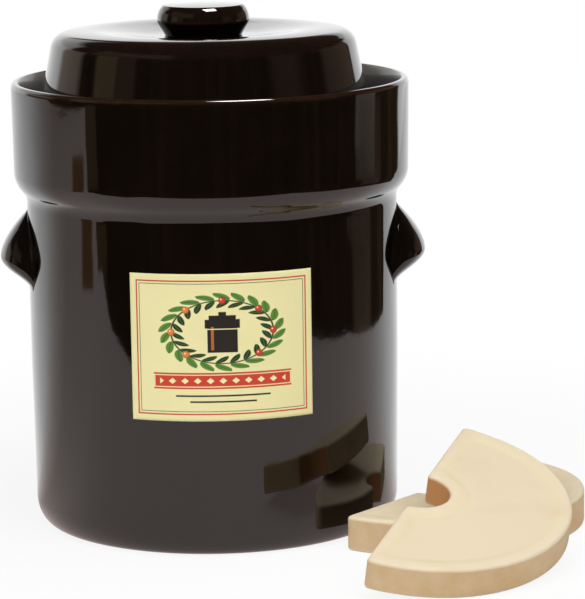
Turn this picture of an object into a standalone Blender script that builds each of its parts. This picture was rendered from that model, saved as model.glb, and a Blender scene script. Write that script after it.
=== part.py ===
"""Stoneware fermentation crock with a water-seal lid and a pair of weight stones.

Units are metres, +Z is up and the front faces -Y. The origin is the centre of the base, on the
plane that everything stands on. The pot is one turned shape: a straight body, a shoulder, a neck
round the mouth, and a collar that holds the water which the lid's skirt dips into. The two lugs
are pressed pieces seated on the wall, and the knob is one seated on the lid. The two half-disc
stones stand at the front right: one lies flat, the other leans on it.
"""
from math import acos, atan2, cos, degrees, pi, radians, sin

import bmesh
import bpy
from mathutils import Matrix, Vector

# Clearance left between pieces that touch
SEAM_GAP = 0.0003

# Pot
RIM_Z = 0.2916
POT_RADIUS = 0.1215
POT_WALL = 0.010
POT_FLOOR = 0.014
POT_TAPER = 0.001
POT_TAPER_Z = 0.105
BASE_CORNER_OUT = 0.010
BASE_CORNER_UP = 0.017
CAVITY_CORNER = 0.016
SHOULDER_CURVE = 0.017
SHOULDER_WALL = 0.010

# Collar and water channel
COLLAR_RADIUS = 0.130
COLLAR_WALL = 0.007
COLLAR_DRAFT = 0.0006
COLLAR_HEIGHT = 0.0786
COLLAR_FLARE_HEIGHT = 0.020
COLLAR_FLARE_SHARE = 0.4
CHANNEL_DEPTH = 0.0616
CHANNEL_FILLET = 0.004

# Lid
SKIRT_RADIUS = 0.1062
SKIRT_WALL = 0.008
SKIRT_DRAFT = 0.0008
SKIRT_HEIGHT = 0.056
SHOULDER_LEAN = 11.0
SHOULDER_ROUND = 0.012
LID_HEIGHT = 0.0939
LID_CROWN_WALL = 0.0085
CREST_RADIUS = 0.076
CREST_FALL_ROUND = 0.110
DISH_DEPTH = 0.0045
DISH_EASE = 0.25
GAS_NOTCH_RADIUS = 0.010

# Neck, which stands inside the lid's skirt
NECK_PLAY = 0.0075
LID_REST_GAP = 0.0039
NECK_WALL = 0.008
NECK_DROP = 0.0096
MOUTH_FILLET = 0.004

# Knob on the lid
KNOB_RADIUS = 0.0302
KNOB_FOOT_RADIUS = 0.0252
KNOB_TOP_RADIUS = 0.0264
KNOB_FLARE_HEIGHT = 0.0093
KNOB_HEIGHT = 0.0203
KNOB_EDGE_ROUND = 0.0008
KNOB_EDGE_LEAN = 45.0
KNOB_SIDE_SWING = 60.0
KNOB_CROWN = 0.0008
KNOB_SEAT_MARGIN = 0.0012

# Lugs on the sides of the pot
LUG_DROP = 0.006
LUG_HEIGHT = 0.0535
LUG_UNDERSIDE = 0.0235
LUG_REACH = 0.019
LUG_HALF_WIDTH = 0.0344
LUG_TOP_HALF_WIDTH = 0.003
LUG_WIDEST_HEIGHT = 0.0065
LUG_EDGE = 0.0012
LUG_FOOT_DRAW_IN = 0.1

# Powers that give the lug's curves: hollow underside, bowed top, arched outline, blunt section
LUG_UNDERSIDE_POWER = 1.6
LUG_TOP_POWER = 1.7
LUG_ARCH_POWER = 0.62
LUG_SECTION_POWER = 2.6

# Weight stones: two halves of one disc, each with half of the finger hole
STONE_RADIUS = 0.0981
LOWER_THICKNESS = 0.0226
UPPER_THICKNESS = 0.0206
STONE_EDGE = 0.0025
STONE_CORNER = 0.0035
FINGER_HOLE_RADIUS = 0.021
STONE_BAND = 0.010
STONE_DISH = 0.0012
STONE_DISH_SLOPE = 0.004

# Where the stones stand: headings are degrees from +X, seen from above
LOWER_HEADING = -40.1
LOWER_CLEARANCE = 0.0106
LOWER_SLIDE = 0.0666
UPPER_HEADING = -21.4
UPPER_SHIFT_OUT = 0.0471
UPPER_SHIFT_ALONG = -0.0896
LEAN_HEADING = -68.3

# Paper label on the front
LABEL_WIDTH = 0.118
LABEL_HEIGHT = 0.0936
LABEL_LOW_Z = 0.0887
LABEL_TURN = 2.3
LABEL_THICKNESS = 0.00025

# Fineness of the model
TURNED_STEPS = 48
KNOB_STEPS = 36
LUG_LEVELS = 16
LUG_COLUMNS = 12
ARC_DEGREES_PER_STEP = 18.0
DISH_STEPS = 8
GAS_NOTCH_SIDES = 16
STONE_ARC_STEPS = 30
FINGER_NOTCH_STEPS = 10
STONE_CORNER_SEGMENTS = 4
STONE_EDGE_SEGMENTS = 3
LABEL_STEPS = 24
LEAN_HALVINGS = 50
LEAN_LIMIT = 60.0

# Edges that turn by more than these degrees stay sharp or are rounded
LUG_SHARP_ANGLE = 40.0
STONE_SHARP_ANGLE = 35.0
STONE_ROUNDED_ANGLE = 60.0

# Levels and radii that follow from the sizes above
COLLAR_FOOT_Z = RIM_Z - COLLAR_HEIGHT
CHANNEL_Z = RIM_Z - CHANNEL_DEPTH
CHANNEL_RADIUS = COLLAR_RADIUS - COLLAR_WALL
SKIRT_INNER_RADIUS = SKIRT_RADIUS - SKIRT_DRAFT - SKIRT_WALL
NECK_RADIUS = SKIRT_INNER_RADIUS - NECK_PLAY
MOUTH_RADIUS = NECK_RADIUS - NECK_WALL
CAVITY_RADIUS = POT_RADIUS - POT_TAPER - POT_WALL
LID_SHIFT = NECK_PLAY - LID_REST_GAP
LID_SEAT_Z = CHANNEL_Z + SEAM_GAP
KNOB_SEAT_RADIUS = KNOB_FOOT_RADIUS + KNOB_SEAT_MARGIN
LUG_SEAT_RADIUS = POT_RADIUS + SEAM_GAP
LABEL_RADIUS = POT_RADIUS + SEAM_GAP


def material(name, color, roughness, coat=0.0):
    """A Principled material with one colour, a roughness and a clear coat."""
    made = bpy.data.materials.new(name)
    made.use_nodes = True
    shader = made.node_tree.nodes["Principled BSDF"]
    shader.inputs["Base Color"].default_value = (*color, 1.0)
    shader.inputs["Roughness"].default_value = roughness
    shader.inputs["Metallic"].default_value = 0.0
    shader.inputs["Coat Weight"].default_value = coat
    made.diffuse_color = (*color, 1.0)
    return made


def add_object(name, mesh, collection, surface=None):
    """Links a new object that shows the mesh in the collection."""
    made = bpy.data.objects.new(name, mesh)
    collection.objects.link(made)
    if surface:
        mesh.materials.append(surface)
    return made


def hide_tool(tool):
    """Keeps a cutter out of renders and draws it as wires."""
    tool.hide_render = True
    tool.display_type = "WIRE"


def arc(centre, reach, start, end):
    """Points (r, z) of an elliptic arc; reach is its radius out and up, angles are in degrees."""
    steps = max(2, round(abs(end - start) / ARC_DEGREES_PER_STEP))
    angles = [radians(start + (end - start) * step / steps) for step in range(steps + 1)]
    return [(centre[0] + reach[0] * cos(a), centre[1] + reach[1] * sin(a)) for a in angles]


def round_arc(centre, radius, start, end):
    """Points of a round arc."""
    return arc(centre, (radius, radius), start, end)


def ogee(top, bottom, share):
    """A convex arc and then a hollow one, upright at both ends, between two points (r, z).

    The turn that both arcs make follows from the run and the drop; share is the hollow
    arc's part of the sum of the two radii.
    """
    run = top[0] - bottom[0]
    drop = top[1] - bottom[1]
    turn = 2 * atan2(run, drop)
    radii = drop / sin(turn)
    hollow = share * radii
    round_part = radii - hollow
    swing = degrees(turn)
    upper = round_arc((top[0] - round_part, top[1]), round_part, 0, -swing)
    lower = round_arc((bottom[0] + hollow, bottom[1]), hollow, 180 - swing, 180)
    return upper + lower[1:]


def ramp(start, end):
    """A cone between two points (r, z) that is eased to level over a share of its run at both ends."""
    points = []
    for step in range(DISH_STEPS + 1):
        part = step / DISH_STEPS
        if part < DISH_EASE:
            rise = part ** 2 / (2 * DISH_EASE)
        elif part > 1 - DISH_EASE:
            rise = 1 - DISH_EASE - (1 - part) ** 2 / (2 * DISH_EASE)
        else:
            rise = part - DISH_EASE / 2
        rise /= 1 - DISH_EASE
        points.append((start[0] + (end[0] - start[0]) * part, start[1] + (end[1] - start[1]) * rise))
    return points


def turned(name, profile, steps, collection, surface):
    """Turns a profile (r, z), which runs down its outer side, into a closed round piece."""
    mesh = bpy.data.meshes.new(name)
    points = [(r, 0.0, z) for r, z in profile]
    mesh.from_pydata(points, [(i, i + 1) for i in range(len(points) - 1)], [])
    made = add_object(name, mesh, collection, surface)
    screw = made.modifiers.new("Turn", "SCREW")
    screw.axis = "Z"
    screw.steps = steps
    screw.render_steps = steps
    screw.use_merge_vertices = True
    screw.merge_threshold = 0.00001
    screw.use_smooth_shade = True
    return made


def pot_profile():
    """Cavity floor, cavity, neck, water channel, collar, body and base, from axis to axis."""
    shoulder_z = CHANNEL_Z - SHOULDER_WALL
    lip = NECK_WALL / 2
    lip_z = RIM_Z - NECK_DROP - lip
    rim = COLLAR_WALL / 2
    channel_low = CHANNEL_Z + CHANNEL_FILLET
    cavity = [(0.0, POT_FLOOR)]
    cavity += round_arc((CAVITY_RADIUS - CAVITY_CORNER, POT_FLOOR + CAVITY_CORNER), CAVITY_CORNER, -90, 0)
    cavity += round_arc((CAVITY_RADIUS - SHOULDER_CURVE, shoulder_z - SHOULDER_CURVE), SHOULDER_CURVE, 0, 90)
    neck = round_arc((MOUTH_RADIUS + MOUTH_FILLET, shoulder_z + MOUTH_FILLET), MOUTH_FILLET, 270, 180)
    neck += round_arc((MOUTH_RADIUS + lip, lip_z), lip, 180, 0)
    channel = round_arc((NECK_RADIUS + CHANNEL_FILLET, channel_low), CHANNEL_FILLET, 180, 270)
    channel += round_arc((CHANNEL_RADIUS - CHANNEL_FILLET, channel_low), CHANNEL_FILLET, -90, 0)
    collar = round_arc((CHANNEL_RADIUS + rim, RIM_Z - rim), rim, 180, 0)
    flare_top = (COLLAR_RADIUS - COLLAR_DRAFT, COLLAR_FOOT_Z + COLLAR_FLARE_HEIGHT)
    collar += ogee(flare_top, (POT_RADIUS, COLLAR_FOOT_Z), COLLAR_FLARE_SHARE)
    foot_radius = POT_RADIUS - POT_TAPER
    body = [(POT_RADIUS, POT_TAPER_Z)]
    body += arc((foot_radius - BASE_CORNER_OUT, BASE_CORNER_UP), (BASE_CORNER_OUT, BASE_CORNER_UP), 0, -90)
    return cavity + neck + channel + collar + body + [(0.0, 0.0)]


def lid_profile():
    """Dish, crest, shoulder, skirt, and the inside back to the axis; z counts from the skirt's foot."""
    crown_z = LID_HEIGHT
    dish_floor = crown_z - DISH_DEPTH
    waist_radius = SKIRT_RADIUS - SKIRT_DRAFT
    # a wide arc falls from the crest; the shoulder's rounding touches it and the leaning side
    lean = radians(SHOULDER_LEAN)
    crest_centre = (CREST_RADIUS, crown_z - CREST_FALL_ROUND)
    across = (waist_radius - crest_centre[0]) * cos(lean) + (SKIRT_HEIGHT - crest_centre[1]) * sin(lean)
    between = CREST_FALL_ROUND - SHOULDER_ROUND
    turn = lean + acos((across - SHOULDER_ROUND) / between)
    round_centre = (crest_centre[0] + between * cos(turn), crest_centre[1] + between * sin(turn))
    inside_round = SHOULDER_ROUND - SKIRT_WALL / 2
    inside_z = crown_z - LID_CROWN_WALL
    inside_centre = (round_centre[0] + SHOULDER_ROUND - SKIRT_WALL - inside_round, inside_z - inside_round)
    foot = SKIRT_WALL / 2
    foot_centre = (SKIRT_RADIUS - foot, foot)
    outside = [(0.0, dish_floor)]
    outside += ramp((KNOB_SEAT_RADIUS, dish_floor), (CREST_RADIUS, crown_z))
    outside += round_arc(crest_centre, CREST_FALL_ROUND, 90, degrees(turn))[1:]
    outside += round_arc(round_centre, SHOULDER_ROUND, degrees(turn), SHOULDER_LEAN)[1:]
    outside += [(waist_radius, SKIRT_HEIGHT)]
    skirt = round_arc(foot_centre, foot, 0, -180)
    skirt += [(SKIRT_INNER_RADIUS, SKIRT_HEIGHT)]
    inside = round_arc(inside_centre, inside_round, SHOULDER_LEAN, 90)
    inside += ramp((CREST_RADIUS, inside_z), (KNOB_SEAT_RADIUS, inside_z - DISH_DEPTH))
    return outside + skirt + inside + [(0.0, inside_z - DISH_DEPTH)]


def knob_profile():
    """Slightly domed top, small edge rounding, bowed side, sharp widest line and cone; z from its foot."""
    top_z = KNOB_HEIGHT - KNOB_CROWN
    top = [(0.0, KNOB_HEIGHT), (KNOB_TOP_RADIUS / 2, KNOB_HEIGHT - KNOB_CROWN / 4)]
    edge_lean = radians(KNOB_EDGE_LEAN)
    edge_centre = (KNOB_TOP_RADIUS - KNOB_EDGE_ROUND * cos(edge_lean), top_z - KNOB_EDGE_ROUND)
    edge = round_arc(edge_centre, KNOB_EDGE_ROUND, 90, KNOB_EDGE_LEAN)
    # the side is the part of an upright ellipse that ends at the edge rounding
    swing = radians(KNOB_SIDE_SWING)
    side_out = (KNOB_RADIUS - KNOB_TOP_RADIUS) / (1 - cos(swing))
    side_up = (edge[-1][1] - KNOB_FLARE_HEIGHT) / sin(swing)
    side_centre = (KNOB_RADIUS - side_out, KNOB_FLARE_HEIGHT)
    side = arc(side_centre, (side_out, side_up), KNOB_SIDE_SWING, 0)[1:]
    return top + edge + side + [(KNOB_FOOT_RADIUS, 0.0), (0.0, 0.0)]


def make_pot(collection):
    """The pot stands on the origin."""
    glaze = material("pot glaze", (0.020, 0.012, 0.010), 0.12, 1.0)
    return turned("crock_body", pot_profile(), TURNED_STEPS, collection, glaze)


def make_lid(collection, tools):
    """The lid stands in the channel, off centre by its play, with its knob in the dish."""
    glaze = material("lid glaze", (0.020, 0.012, 0.010), 0.12, 1.0)
    knob_glaze = material("knob glaze", (0.018, 0.011, 0.009), 0.12, 1.0)
    axis = bpy.data.objects.new("lid_axis", None)
    axis.location = (-LID_SHIFT, 0.0, LID_SEAT_Z)
    collection.objects.link(axis)
    lid = turned("lid", lid_profile(), TURNED_STEPS, collection, glaze)
    lid.parent = axis
    knob = turned("lid_knob", knob_profile(), KNOB_STEPS, collection, knob_glaze)
    knob.parent = axis
    knob.location.z = LID_HEIGHT - DISH_DEPTH + SEAM_GAP
    # one bar across the lid cuts the gas notches at the left and the right of the skirt
    bpy.ops.mesh.primitive_cylinder_add(
        vertices=GAS_NOTCH_SIDES,
        radius=GAS_NOTCH_RADIUS,
        depth=2 * SKIRT_RADIUS + SKIRT_WALL,
        rotation=(0.0, radians(90), 0.0),
    )
    bar = bpy.context.object
    bar.name = "gas_notch_cutter"
    bar.parent = axis
    bar.users_collection[0].objects.unlink(bar)
    tools.objects.link(bar)
    hide_tool(bar)
    cut = lid.modifiers.new("Gas notches", "BOOLEAN")
    cut.operation = "DIFFERENCE"
    cut.solver = "EXACT"
    cut.object = bar


def lug_reach(height):
    """How far the lug stands out at a height above its foot: hollow underside, bowed top."""
    if height < LUG_UNDERSIDE:
        part = 1 - height / LUG_UNDERSIDE
        return LUG_REACH * cos(pi / 2 * part) ** LUG_UNDERSIDE_POWER
    part = (height - LUG_UNDERSIDE) / (LUG_HEIGHT - LUG_UNDERSIDE)
    return LUG_REACH * (1 - part ** LUG_TOP_POWER)


def lug_half_width(height):
    """Half of the lug's width at a height above its foot: an arch over a slightly drawn-in foot."""
    part = (height - LUG_WIDEST_HEIGHT) / (LUG_HEIGHT - LUG_WIDEST_HEIGHT)
    if part < 0:
        drawn_in = height / LUG_WIDEST_HEIGHT - 1
        return LUG_HALF_WIDTH * (1 - LUG_FOOT_DRAW_IN * drawn_in ** 2)
    return max(LUG_TOP_HALF_WIDTH, LUG_HALF_WIDTH * (1 - part ** 2) ** LUG_ARCH_POWER)


def make_lug(name, side, collection, surface):
    """A lug as a loft of level sections: a blunt curve outside, the pot's own curve inside."""
    levels = LUG_LEVELS
    columns = LUG_COLUMNS
    foot_z = COLLAR_FOOT_Z - LUG_DROP - LUG_HEIGHT
    shape = bmesh.new()
    outer_rows = []
    inner_rows = []
    for level in range(levels + 1):
        # levels are closer together at the foot and the top, where the outline turns
        height = LUG_HEIGHT * (1 - cos(pi * level / levels)) / 2
        half_turn = lug_half_width(height) / LUG_SEAT_RADIUS
        reach = max(lug_reach(height), LUG_EDGE)
        outer = []
        inner = []
        for column in range(columns + 1):
            across = sin(pi / 2 * (2 * column / columns - 1))
            turn = half_turn * across
            bulge = (1 - abs(across) ** LUG_SECTION_POWER) ** (1 / LUG_SECTION_POWER)
            out = LUG_SEAT_RADIUS + reach * bulge
            z = foot_z + height
            outer.append(shape.verts.new((side * out * cos(turn), out * sin(turn), z)))
            if column in (0, columns):
                inner.append(outer[-1])
            else:
                seat = LUG_SEAT_RADIUS
                inner.append(shape.verts.new((side * seat * cos(turn), seat * sin(turn), z)))
        outer_rows.append(outer)
        inner_rows.append(inner)
    for level in range(levels):
        for column in range(columns):
            for rows in (outer_rows, inner_rows):
                low, high = rows[level], rows[level + 1]
                shape.faces.new((low[column], low[column + 1], high[column + 1], high[column]))
    for outer, inner in ((outer_rows[0], inner_rows[0]), (outer_rows[-1], inner_rows[-1])):
        for column in range(columns):
            corners = [outer[column], outer[column + 1], inner[column + 1], inner[column]]
            shape.faces.new(list(dict.fromkeys(corners)))
    bmesh.ops.recalc_face_normals(shape, faces=shape.faces)
    mesh = bpy.data.meshes.new(name)
    shape.to_mesh(mesh)
    shape.free()
    mesh.shade_smooth()
    mesh.set_sharp_from_angle(angle=radians(LUG_SHARP_ANGLE))
    return add_object(name, mesh, collection, surface)


def stone_outline(inset):
    """Half-disc outline with the finger notch, set in by a margin; also its four corners' indices."""
    arc_steps = STONE_ARC_STEPS
    notch_steps = FINGER_NOTCH_STEPS
    outer = STONE_RADIUS - inset
    notch = FINGER_HOLE_RADIUS + inset
    outer_end = acos(inset / outer)
    notch_end = acos(inset / notch)
    points = []
    for step in range(arc_steps + 1):
        a = outer_end * (2 * step / arc_steps - 1)
        points.append((outer * cos(a), outer * sin(a)))
    for step in range(notch_steps + 1):
        a = notch_end * (1 - 2 * step / notch_steps)
        points.append((notch * cos(a), notch * sin(a)))
    corners = (0, arc_steps, arc_steps + 1, arc_steps + 1 + notch_steps)
    return points, corners


def stone_block(name, low_inset, high_inset, low_z, high_z, corner):
    """A closed block between two insets of the outline, with its upright corners rounded."""
    low, corners = stone_outline(low_inset)
    high, _ = stone_outline(high_inset)
    shape = bmesh.new()
    bottom = [shape.verts.new((x, y, low_z)) for x, y in low]
    top = [shape.verts.new((x, y, high_z)) for x, y in high]
    shape.faces.new(bottom[::-1])
    shape.faces.new(top)
    uprights = []
    for i in range(len(low)):
        j = (i + 1) % len(low)
        shape.faces.new((bottom[i], bottom[j], top[j], top[i]))
    for i in corners:
        uprights.append(shape.edges.get((bottom[i], top[i])))
    bmesh.ops.bevel(
        shape,
        geom=uprights,
        offset=corner,
        segments=STONE_CORNER_SEGMENTS,
        profile=0.5,
        affect="EDGES",
        clamp_overlap=True,
    )
    bmesh.ops.recalc_face_normals(shape, faces=shape.faces)
    mesh = bpy.data.meshes.new(name)
    shape.to_mesh(mesh)
    shape.free()
    return mesh


def lean_angle(distance):
    """Tilt at which the leaning stone touches the floor and the other stone's rounded edge.

    distance is how far downhill of the leaning stone's centre the centre of the other's
    edge rounding lies. The underside's height over that rounding grows with the tilt, so
    the tilt is found by halving.
    """
    low, high = 0.0, radians(LEAN_LIMIT)
    arm = STONE_RADIUS - STONE_EDGE
    for _ in range(LEAN_HALVINGS):
        tilt = (low + high) / 2
        centre_z = arm * sin(tilt) + STONE_EDGE * (1 - cos(tilt))
        support_z = LOWER_THICKNESS - STONE_EDGE
        clearance = cos(tilt) * (centre_z - support_z) - distance * sin(tilt) - STONE_EDGE
        if clearance < SEAM_GAP:
            low = tilt
        else:
            high = tilt
    return (low + high) / 2


def heading(angle):
    """Unit vector in plan for a heading in degrees."""
    return Vector((cos(radians(angle)), sin(radians(angle)), 0.0))


def make_stone(name, thickness, place, collection, tools, surface):
    """One stone: rounded block, shallow dish in its top, set down by the given matrix."""
    mesh = stone_block(name, 0.0, 0.0, 0.0, thickness, STONE_CORNER)
    stone = add_object(name, mesh, collection, surface)
    edges = stone.modifiers.new("Rounded edges", "BEVEL")
    edges.width = STONE_EDGE
    edges.segments = STONE_EDGE_SEGMENTS
    edges.limit_method = "ANGLE"
    edges.angle_limit = radians(STONE_ROUNDED_ANGLE)
    # the dish's wall goes on at the same slope above the stone, where the cutter ends
    dish_z = thickness - STONE_DISH
    low_inset = STONE_BAND + STONE_DISH_SLOPE
    high_inset = STONE_BAND - STONE_DISH_SLOPE
    high_z = thickness + STONE_DISH
    tool_mesh = stone_block(name + "_dish", low_inset, high_inset, dish_z, high_z, STONE_CORNER / 2)
    tool = add_object(name + "_dish_cutter", tool_mesh, tools)
    hide_tool(tool)
    cut = stone.modifiers.new("Dish", "BOOLEAN")
    cut.operation = "DIFFERENCE"
    cut.solver = "EXACT"
    cut.object = tool
    mesh.shade_smooth()
    mesh.set_sharp_from_angle(angle=radians(STONE_SHARP_ANGLE))
    stone.matrix_world = place
    tool.matrix_world = place
    return stone


def make_stones(collection, tools):
    """The lower stone lies by the pot; the upper one leans on it, its front edge on the floor."""
    clay = material("lower stone clay", (0.80, 0.68, 0.50), 0.85)
    upper_clay = material("upper stone clay", (0.82, 0.70, 0.52), 0.85)
    out = heading(LOWER_HEADING)
    along = heading(LOWER_HEADING + 90)
    lower_at = out * (POT_RADIUS + LOWER_CLEARANCE) + along * LOWER_SLIDE
    lower_place = Matrix.Translation(lower_at) @ Matrix.Rotation(radians(LOWER_HEADING), 4, "Z")
    make_stone("weight_stone_lower", LOWER_THICKNESS, lower_place, collection, tools, clay)
    upper_at = lower_at + out * UPPER_SHIFT_OUT + along * UPPER_SHIFT_ALONG
    downhill = heading(LEAN_HEADING)
    distance = (lower_at - upper_at).dot(downhill) + STONE_RADIUS - STONE_EDGE
    tilt = lean_angle(distance)
    upper_at.z = (STONE_RADIUS - STONE_EDGE) * sin(tilt) + STONE_EDGE * (1 - cos(tilt))
    lean = Matrix.Rotation(tilt, 4, heading(LEAN_HEADING + 90))
    turn = Matrix.Rotation(radians(UPPER_HEADING), 4, "Z")
    upper_place = Matrix.Translation(upper_at) @ lean @ turn
    make_stone("weight_stone_upper", UPPER_THICKNESS, upper_place, collection, tools, upper_clay)


def make_label(collection):
    """Thin paper on the front of the pot: an upright line turned through an arc, given a thickness."""
    paper = material("label paper", (0.86, 0.80, 0.52), 0.55)
    sweep = LABEL_WIDTH / LABEL_RADIUS
    mesh = bpy.data.meshes.new("label")
    ends = [(LABEL_RADIUS, 0.0, LABEL_LOW_Z + LABEL_HEIGHT), (LABEL_RADIUS, 0.0, LABEL_LOW_Z)]
    mesh.from_pydata(ends, [(0, 1)], [])
    label = add_object("label", mesh, collection, paper)
    label.rotation_euler.z = radians(-90 + LABEL_TURN) - sweep / 2
    turn = label.modifiers.new("Bend", "SCREW")
    turn.axis = "Z"
    turn.angle = sweep
    turn.steps = LABEL_STEPS
    turn.render_steps = LABEL_STEPS
    turn.use_merge_vertices = False
    paper_sheet = label.modifiers.new("Thickness", "SOLIDIFY")
    paper_sheet.thickness = LABEL_THICKNESS
    paper_sheet.offset = 1.0
    return label


def main():
    for old in list(bpy.data.objects):
        bpy.data.objects.remove(old, do_unlink=True)
    parts = bpy.data.collections.new("Fermentation crock")
    tools = bpy.data.collections.new("Cutters")
    for collection in (parts, tools):
        bpy.context.scene.collection.children.link(collection)
    make_pot(parts)
    for name, side in (("handle_left", -1), ("handle_right", 1)):
        lug_glaze = material(f"{name} glaze", (0.020, 0.012, 0.010), 0.12, 1.0)
        make_lug(name, side, parts, lug_glaze)
    make_lid(parts, tools)
    make_stones(parts, tools)
    make_label(parts)


main()
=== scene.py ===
"""Fermentation crock: the looks of a glazed water-seal crock with its lid, label and weight stones.

The file is laid out as an add-on and is run as a script. Lengths are metres in the frame of the
packed model: the origin is the middle of the base, +Z is up and the front faces -Y. Every piece is
a surface worked out with numpy from the sizes below, and its place is in its mesh.
"""

import bmesh
import bpy
import numpy as np
from bpy.props import FloatProperty, FloatVectorProperty, IntProperty, PointerProperty
from bpy.types import Operator, Panel, PropertyGroup
from mathutils import Matrix, Vector


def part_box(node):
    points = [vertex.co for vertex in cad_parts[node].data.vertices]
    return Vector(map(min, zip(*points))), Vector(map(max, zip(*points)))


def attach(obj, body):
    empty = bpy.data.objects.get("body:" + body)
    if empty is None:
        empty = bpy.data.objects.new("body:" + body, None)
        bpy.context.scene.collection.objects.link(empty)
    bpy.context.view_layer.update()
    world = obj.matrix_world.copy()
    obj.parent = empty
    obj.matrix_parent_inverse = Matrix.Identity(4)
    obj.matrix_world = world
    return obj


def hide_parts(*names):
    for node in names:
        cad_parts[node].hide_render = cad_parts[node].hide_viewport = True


bl_info = {
    "name": "Fermentation crock",
    "version": (1, 0, 0),
    "blender": (4, 5, 0),
    "location": "View3D > Sidebar > Crock",
    "description": "Builds a glazed water-seal crock with lid, label and weight stones",
    "category": "Add Mesh",
}

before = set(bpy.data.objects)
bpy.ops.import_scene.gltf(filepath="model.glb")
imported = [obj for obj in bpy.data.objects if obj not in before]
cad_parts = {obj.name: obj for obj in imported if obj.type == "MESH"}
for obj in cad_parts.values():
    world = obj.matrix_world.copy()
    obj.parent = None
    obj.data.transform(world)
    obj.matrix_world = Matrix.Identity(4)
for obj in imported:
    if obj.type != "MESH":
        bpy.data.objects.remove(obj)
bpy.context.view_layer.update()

GLINT_PIECES = "pieces_with_glint"
IMAGE_SIZE = (585, 599)
SENSOR = 36.0
MILLIMETRE = 0.001
FULL_TURN = 2 * np.pi
# Hand work's unevenness: the seed of its waves and the shortest of them
HAND_WORK = {
    "pot": (11, 0.03), "lid": (12, 0.03), "knob": (13, 0.03), "lugs": (21, 0.02), "stones": (31, 0.04),
}

# Places that the packed model gives
POT_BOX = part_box("crock_body")
LID_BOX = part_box("lid")
KNOB_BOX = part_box("lid_knob")
LUG_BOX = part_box("handle_right")
LABEL_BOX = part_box("label")
STONE_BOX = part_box("weight_stone_lower")


def length(name, description, default):
    """A size in metres."""
    return FloatProperty(name=name, description=description, default=default, unit="LENGTH", precision=5)


def angle(name, description, degrees):
    """An angle, given in degrees and held in radians."""
    return FloatProperty(name=name, description=description, default=np.radians(degrees), subtype="ANGLE")


def share(name, description, default):
    """A plain number."""
    return FloatProperty(name=name, description=description, default=default, precision=4)


def colour(name, description, default):
    """A colour as linear red, green and blue."""
    return FloatVectorProperty(name=name, description=description, default=default, subtype="COLOR", size=3)


class PotSizes(PropertyGroup):
    """The pot with its neck, water channel and collar."""

    rim_height: length("Rim height", "Top of the collar above the base", POT_BOX[1].z)
    collar_radius: length("Collar radius", "Outside of the collar", POT_BOX[1].x)
    collar_wall: length("Collar wall", "Thickness of the collar", 0.007)
    rim_out: length("Rim rounding width", "Outer rounding of the rim, across", 0.0024)
    rim_down: length("Rim rounding height", "Outer rounding of the rim, downwards", 0.003)
    rim_flat: length("Rim flat", "Level part of the rim", 0.0014)
    rim_inside: length("Rim inside", "Height over which the rim runs into the inner wall", 0.014)
    collar_draft: length("Collar draft", "How much the collar narrows to its foot", 0.0006)
    collar_height: length("Collar height", "From the rim down to the body", 0.0786)
    flare_height: length("Flare height", "Height of the curve under the collar", 0.020)
    flare_share: share("Hollow share", "Hollow arc's part of the flare's two radii", 0.4)
    channel_depth: length("Channel depth", "From the rim down to the channel's floor", 0.0616)
    channel_fillet: length("Channel fillet", "Rounding in the channel's corners", 0.004)
    body_radius: length("Body radius", "Outside of the body", 0.1215)
    wall: length("Wall", "Thickness of the body", 0.010)
    floor: length("Floor", "Thickness of the floor", 0.014)
    taper: length("Taper", "How much the body narrows to its base", 0.001)
    taper_height: length("Taper height", "Height at which the body starts to narrow", 0.105)
    corner_out: length("Base corner width", "Rounding of the base, outwards", 0.010)
    corner_up: length("Base corner height", "Rounding of the base, upwards", 0.017)
    cavity_corner: length("Cavity corner", "Rounding between cavity wall and floor", 0.016)
    shoulder_curve: length("Shoulder curve", "Rounding under the shoulder", 0.017)
    shoulder_wall: length("Shoulder wall", "Thickness under the channel", 0.010)
    neck_radius: length("Neck radius", "Outside of the neck", 0.0899)
    neck_wall: length("Neck wall", "Thickness of the neck", 0.008)
    neck_drop: length("Neck drop", "From the rim down to the neck's lip", 0.0096)
    mouth_fillet: length("Mouth fillet", "Rounding where neck and shoulder meet", 0.004)
    uneven: length("Unevenness", "Hand work's unevenness of the walls", 0.00004)
    # These three bound the collar's inner wall, where the glaze is rougher and its grey colour is painted
    # sheen standing in for the backdrop's reflection
    dull_and_sheen_height: length("Dull height", "From the rim down to where the inner wall's glaze turns dull", 0.030)
    dull_and_sheen_margin: length("Dull margin", "From the rim's inner edge to the dull glaze", 0.0006)
    dull_and_sheen_reach: length("Dull reach", "How far further in the glaze may be dull, short of the neck", 0.012)


class LidSizes(PropertyGroup):
    """The lid; heights are from the skirt's foot."""

    skirt_radius: length("Skirt radius", "Outside of the skirt at its foot", LID_BOX[1].y)
    skirt_wall: length("Skirt wall", "Thickness of the skirt", 0.008)
    skirt_draft: length("Skirt draft", "How much the skirt narrows upwards", 0.0008)
    skirt_height: length("Skirt height", "Height of the upright part", 0.056)
    lean: angle("Shoulder lean", "Slope of the shoulder from upright", 11.0)
    rounding: length("Shoulder rounding", "Rounding between shoulder and crown", 0.012)
    height: length("Height", "Top of the crown", LID_BOX[1].z - LID_BOX[0].z)
    crown_wall: length("Crown wall", "Thickness of the crown", 0.0085)
    crest_radius: length("Crest radius", "Where the crown is highest", 0.076)
    crest_fall: length("Crest fall", "Radius of the gentle fall outside the crest", 0.110)
    dish_depth: length("Dish depth", "How deep the knob's seat lies", 0.0045)
    dish_ease: share("Dish ease", "Part of the dish's slope over which it eases in and out", 0.25)
    notch_radius: length("Gas notch", "Radius of the notches in the skirt's foot", 0.010)
    uneven: length("Unevenness", "Hand work's unevenness", 0.00004)


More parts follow.
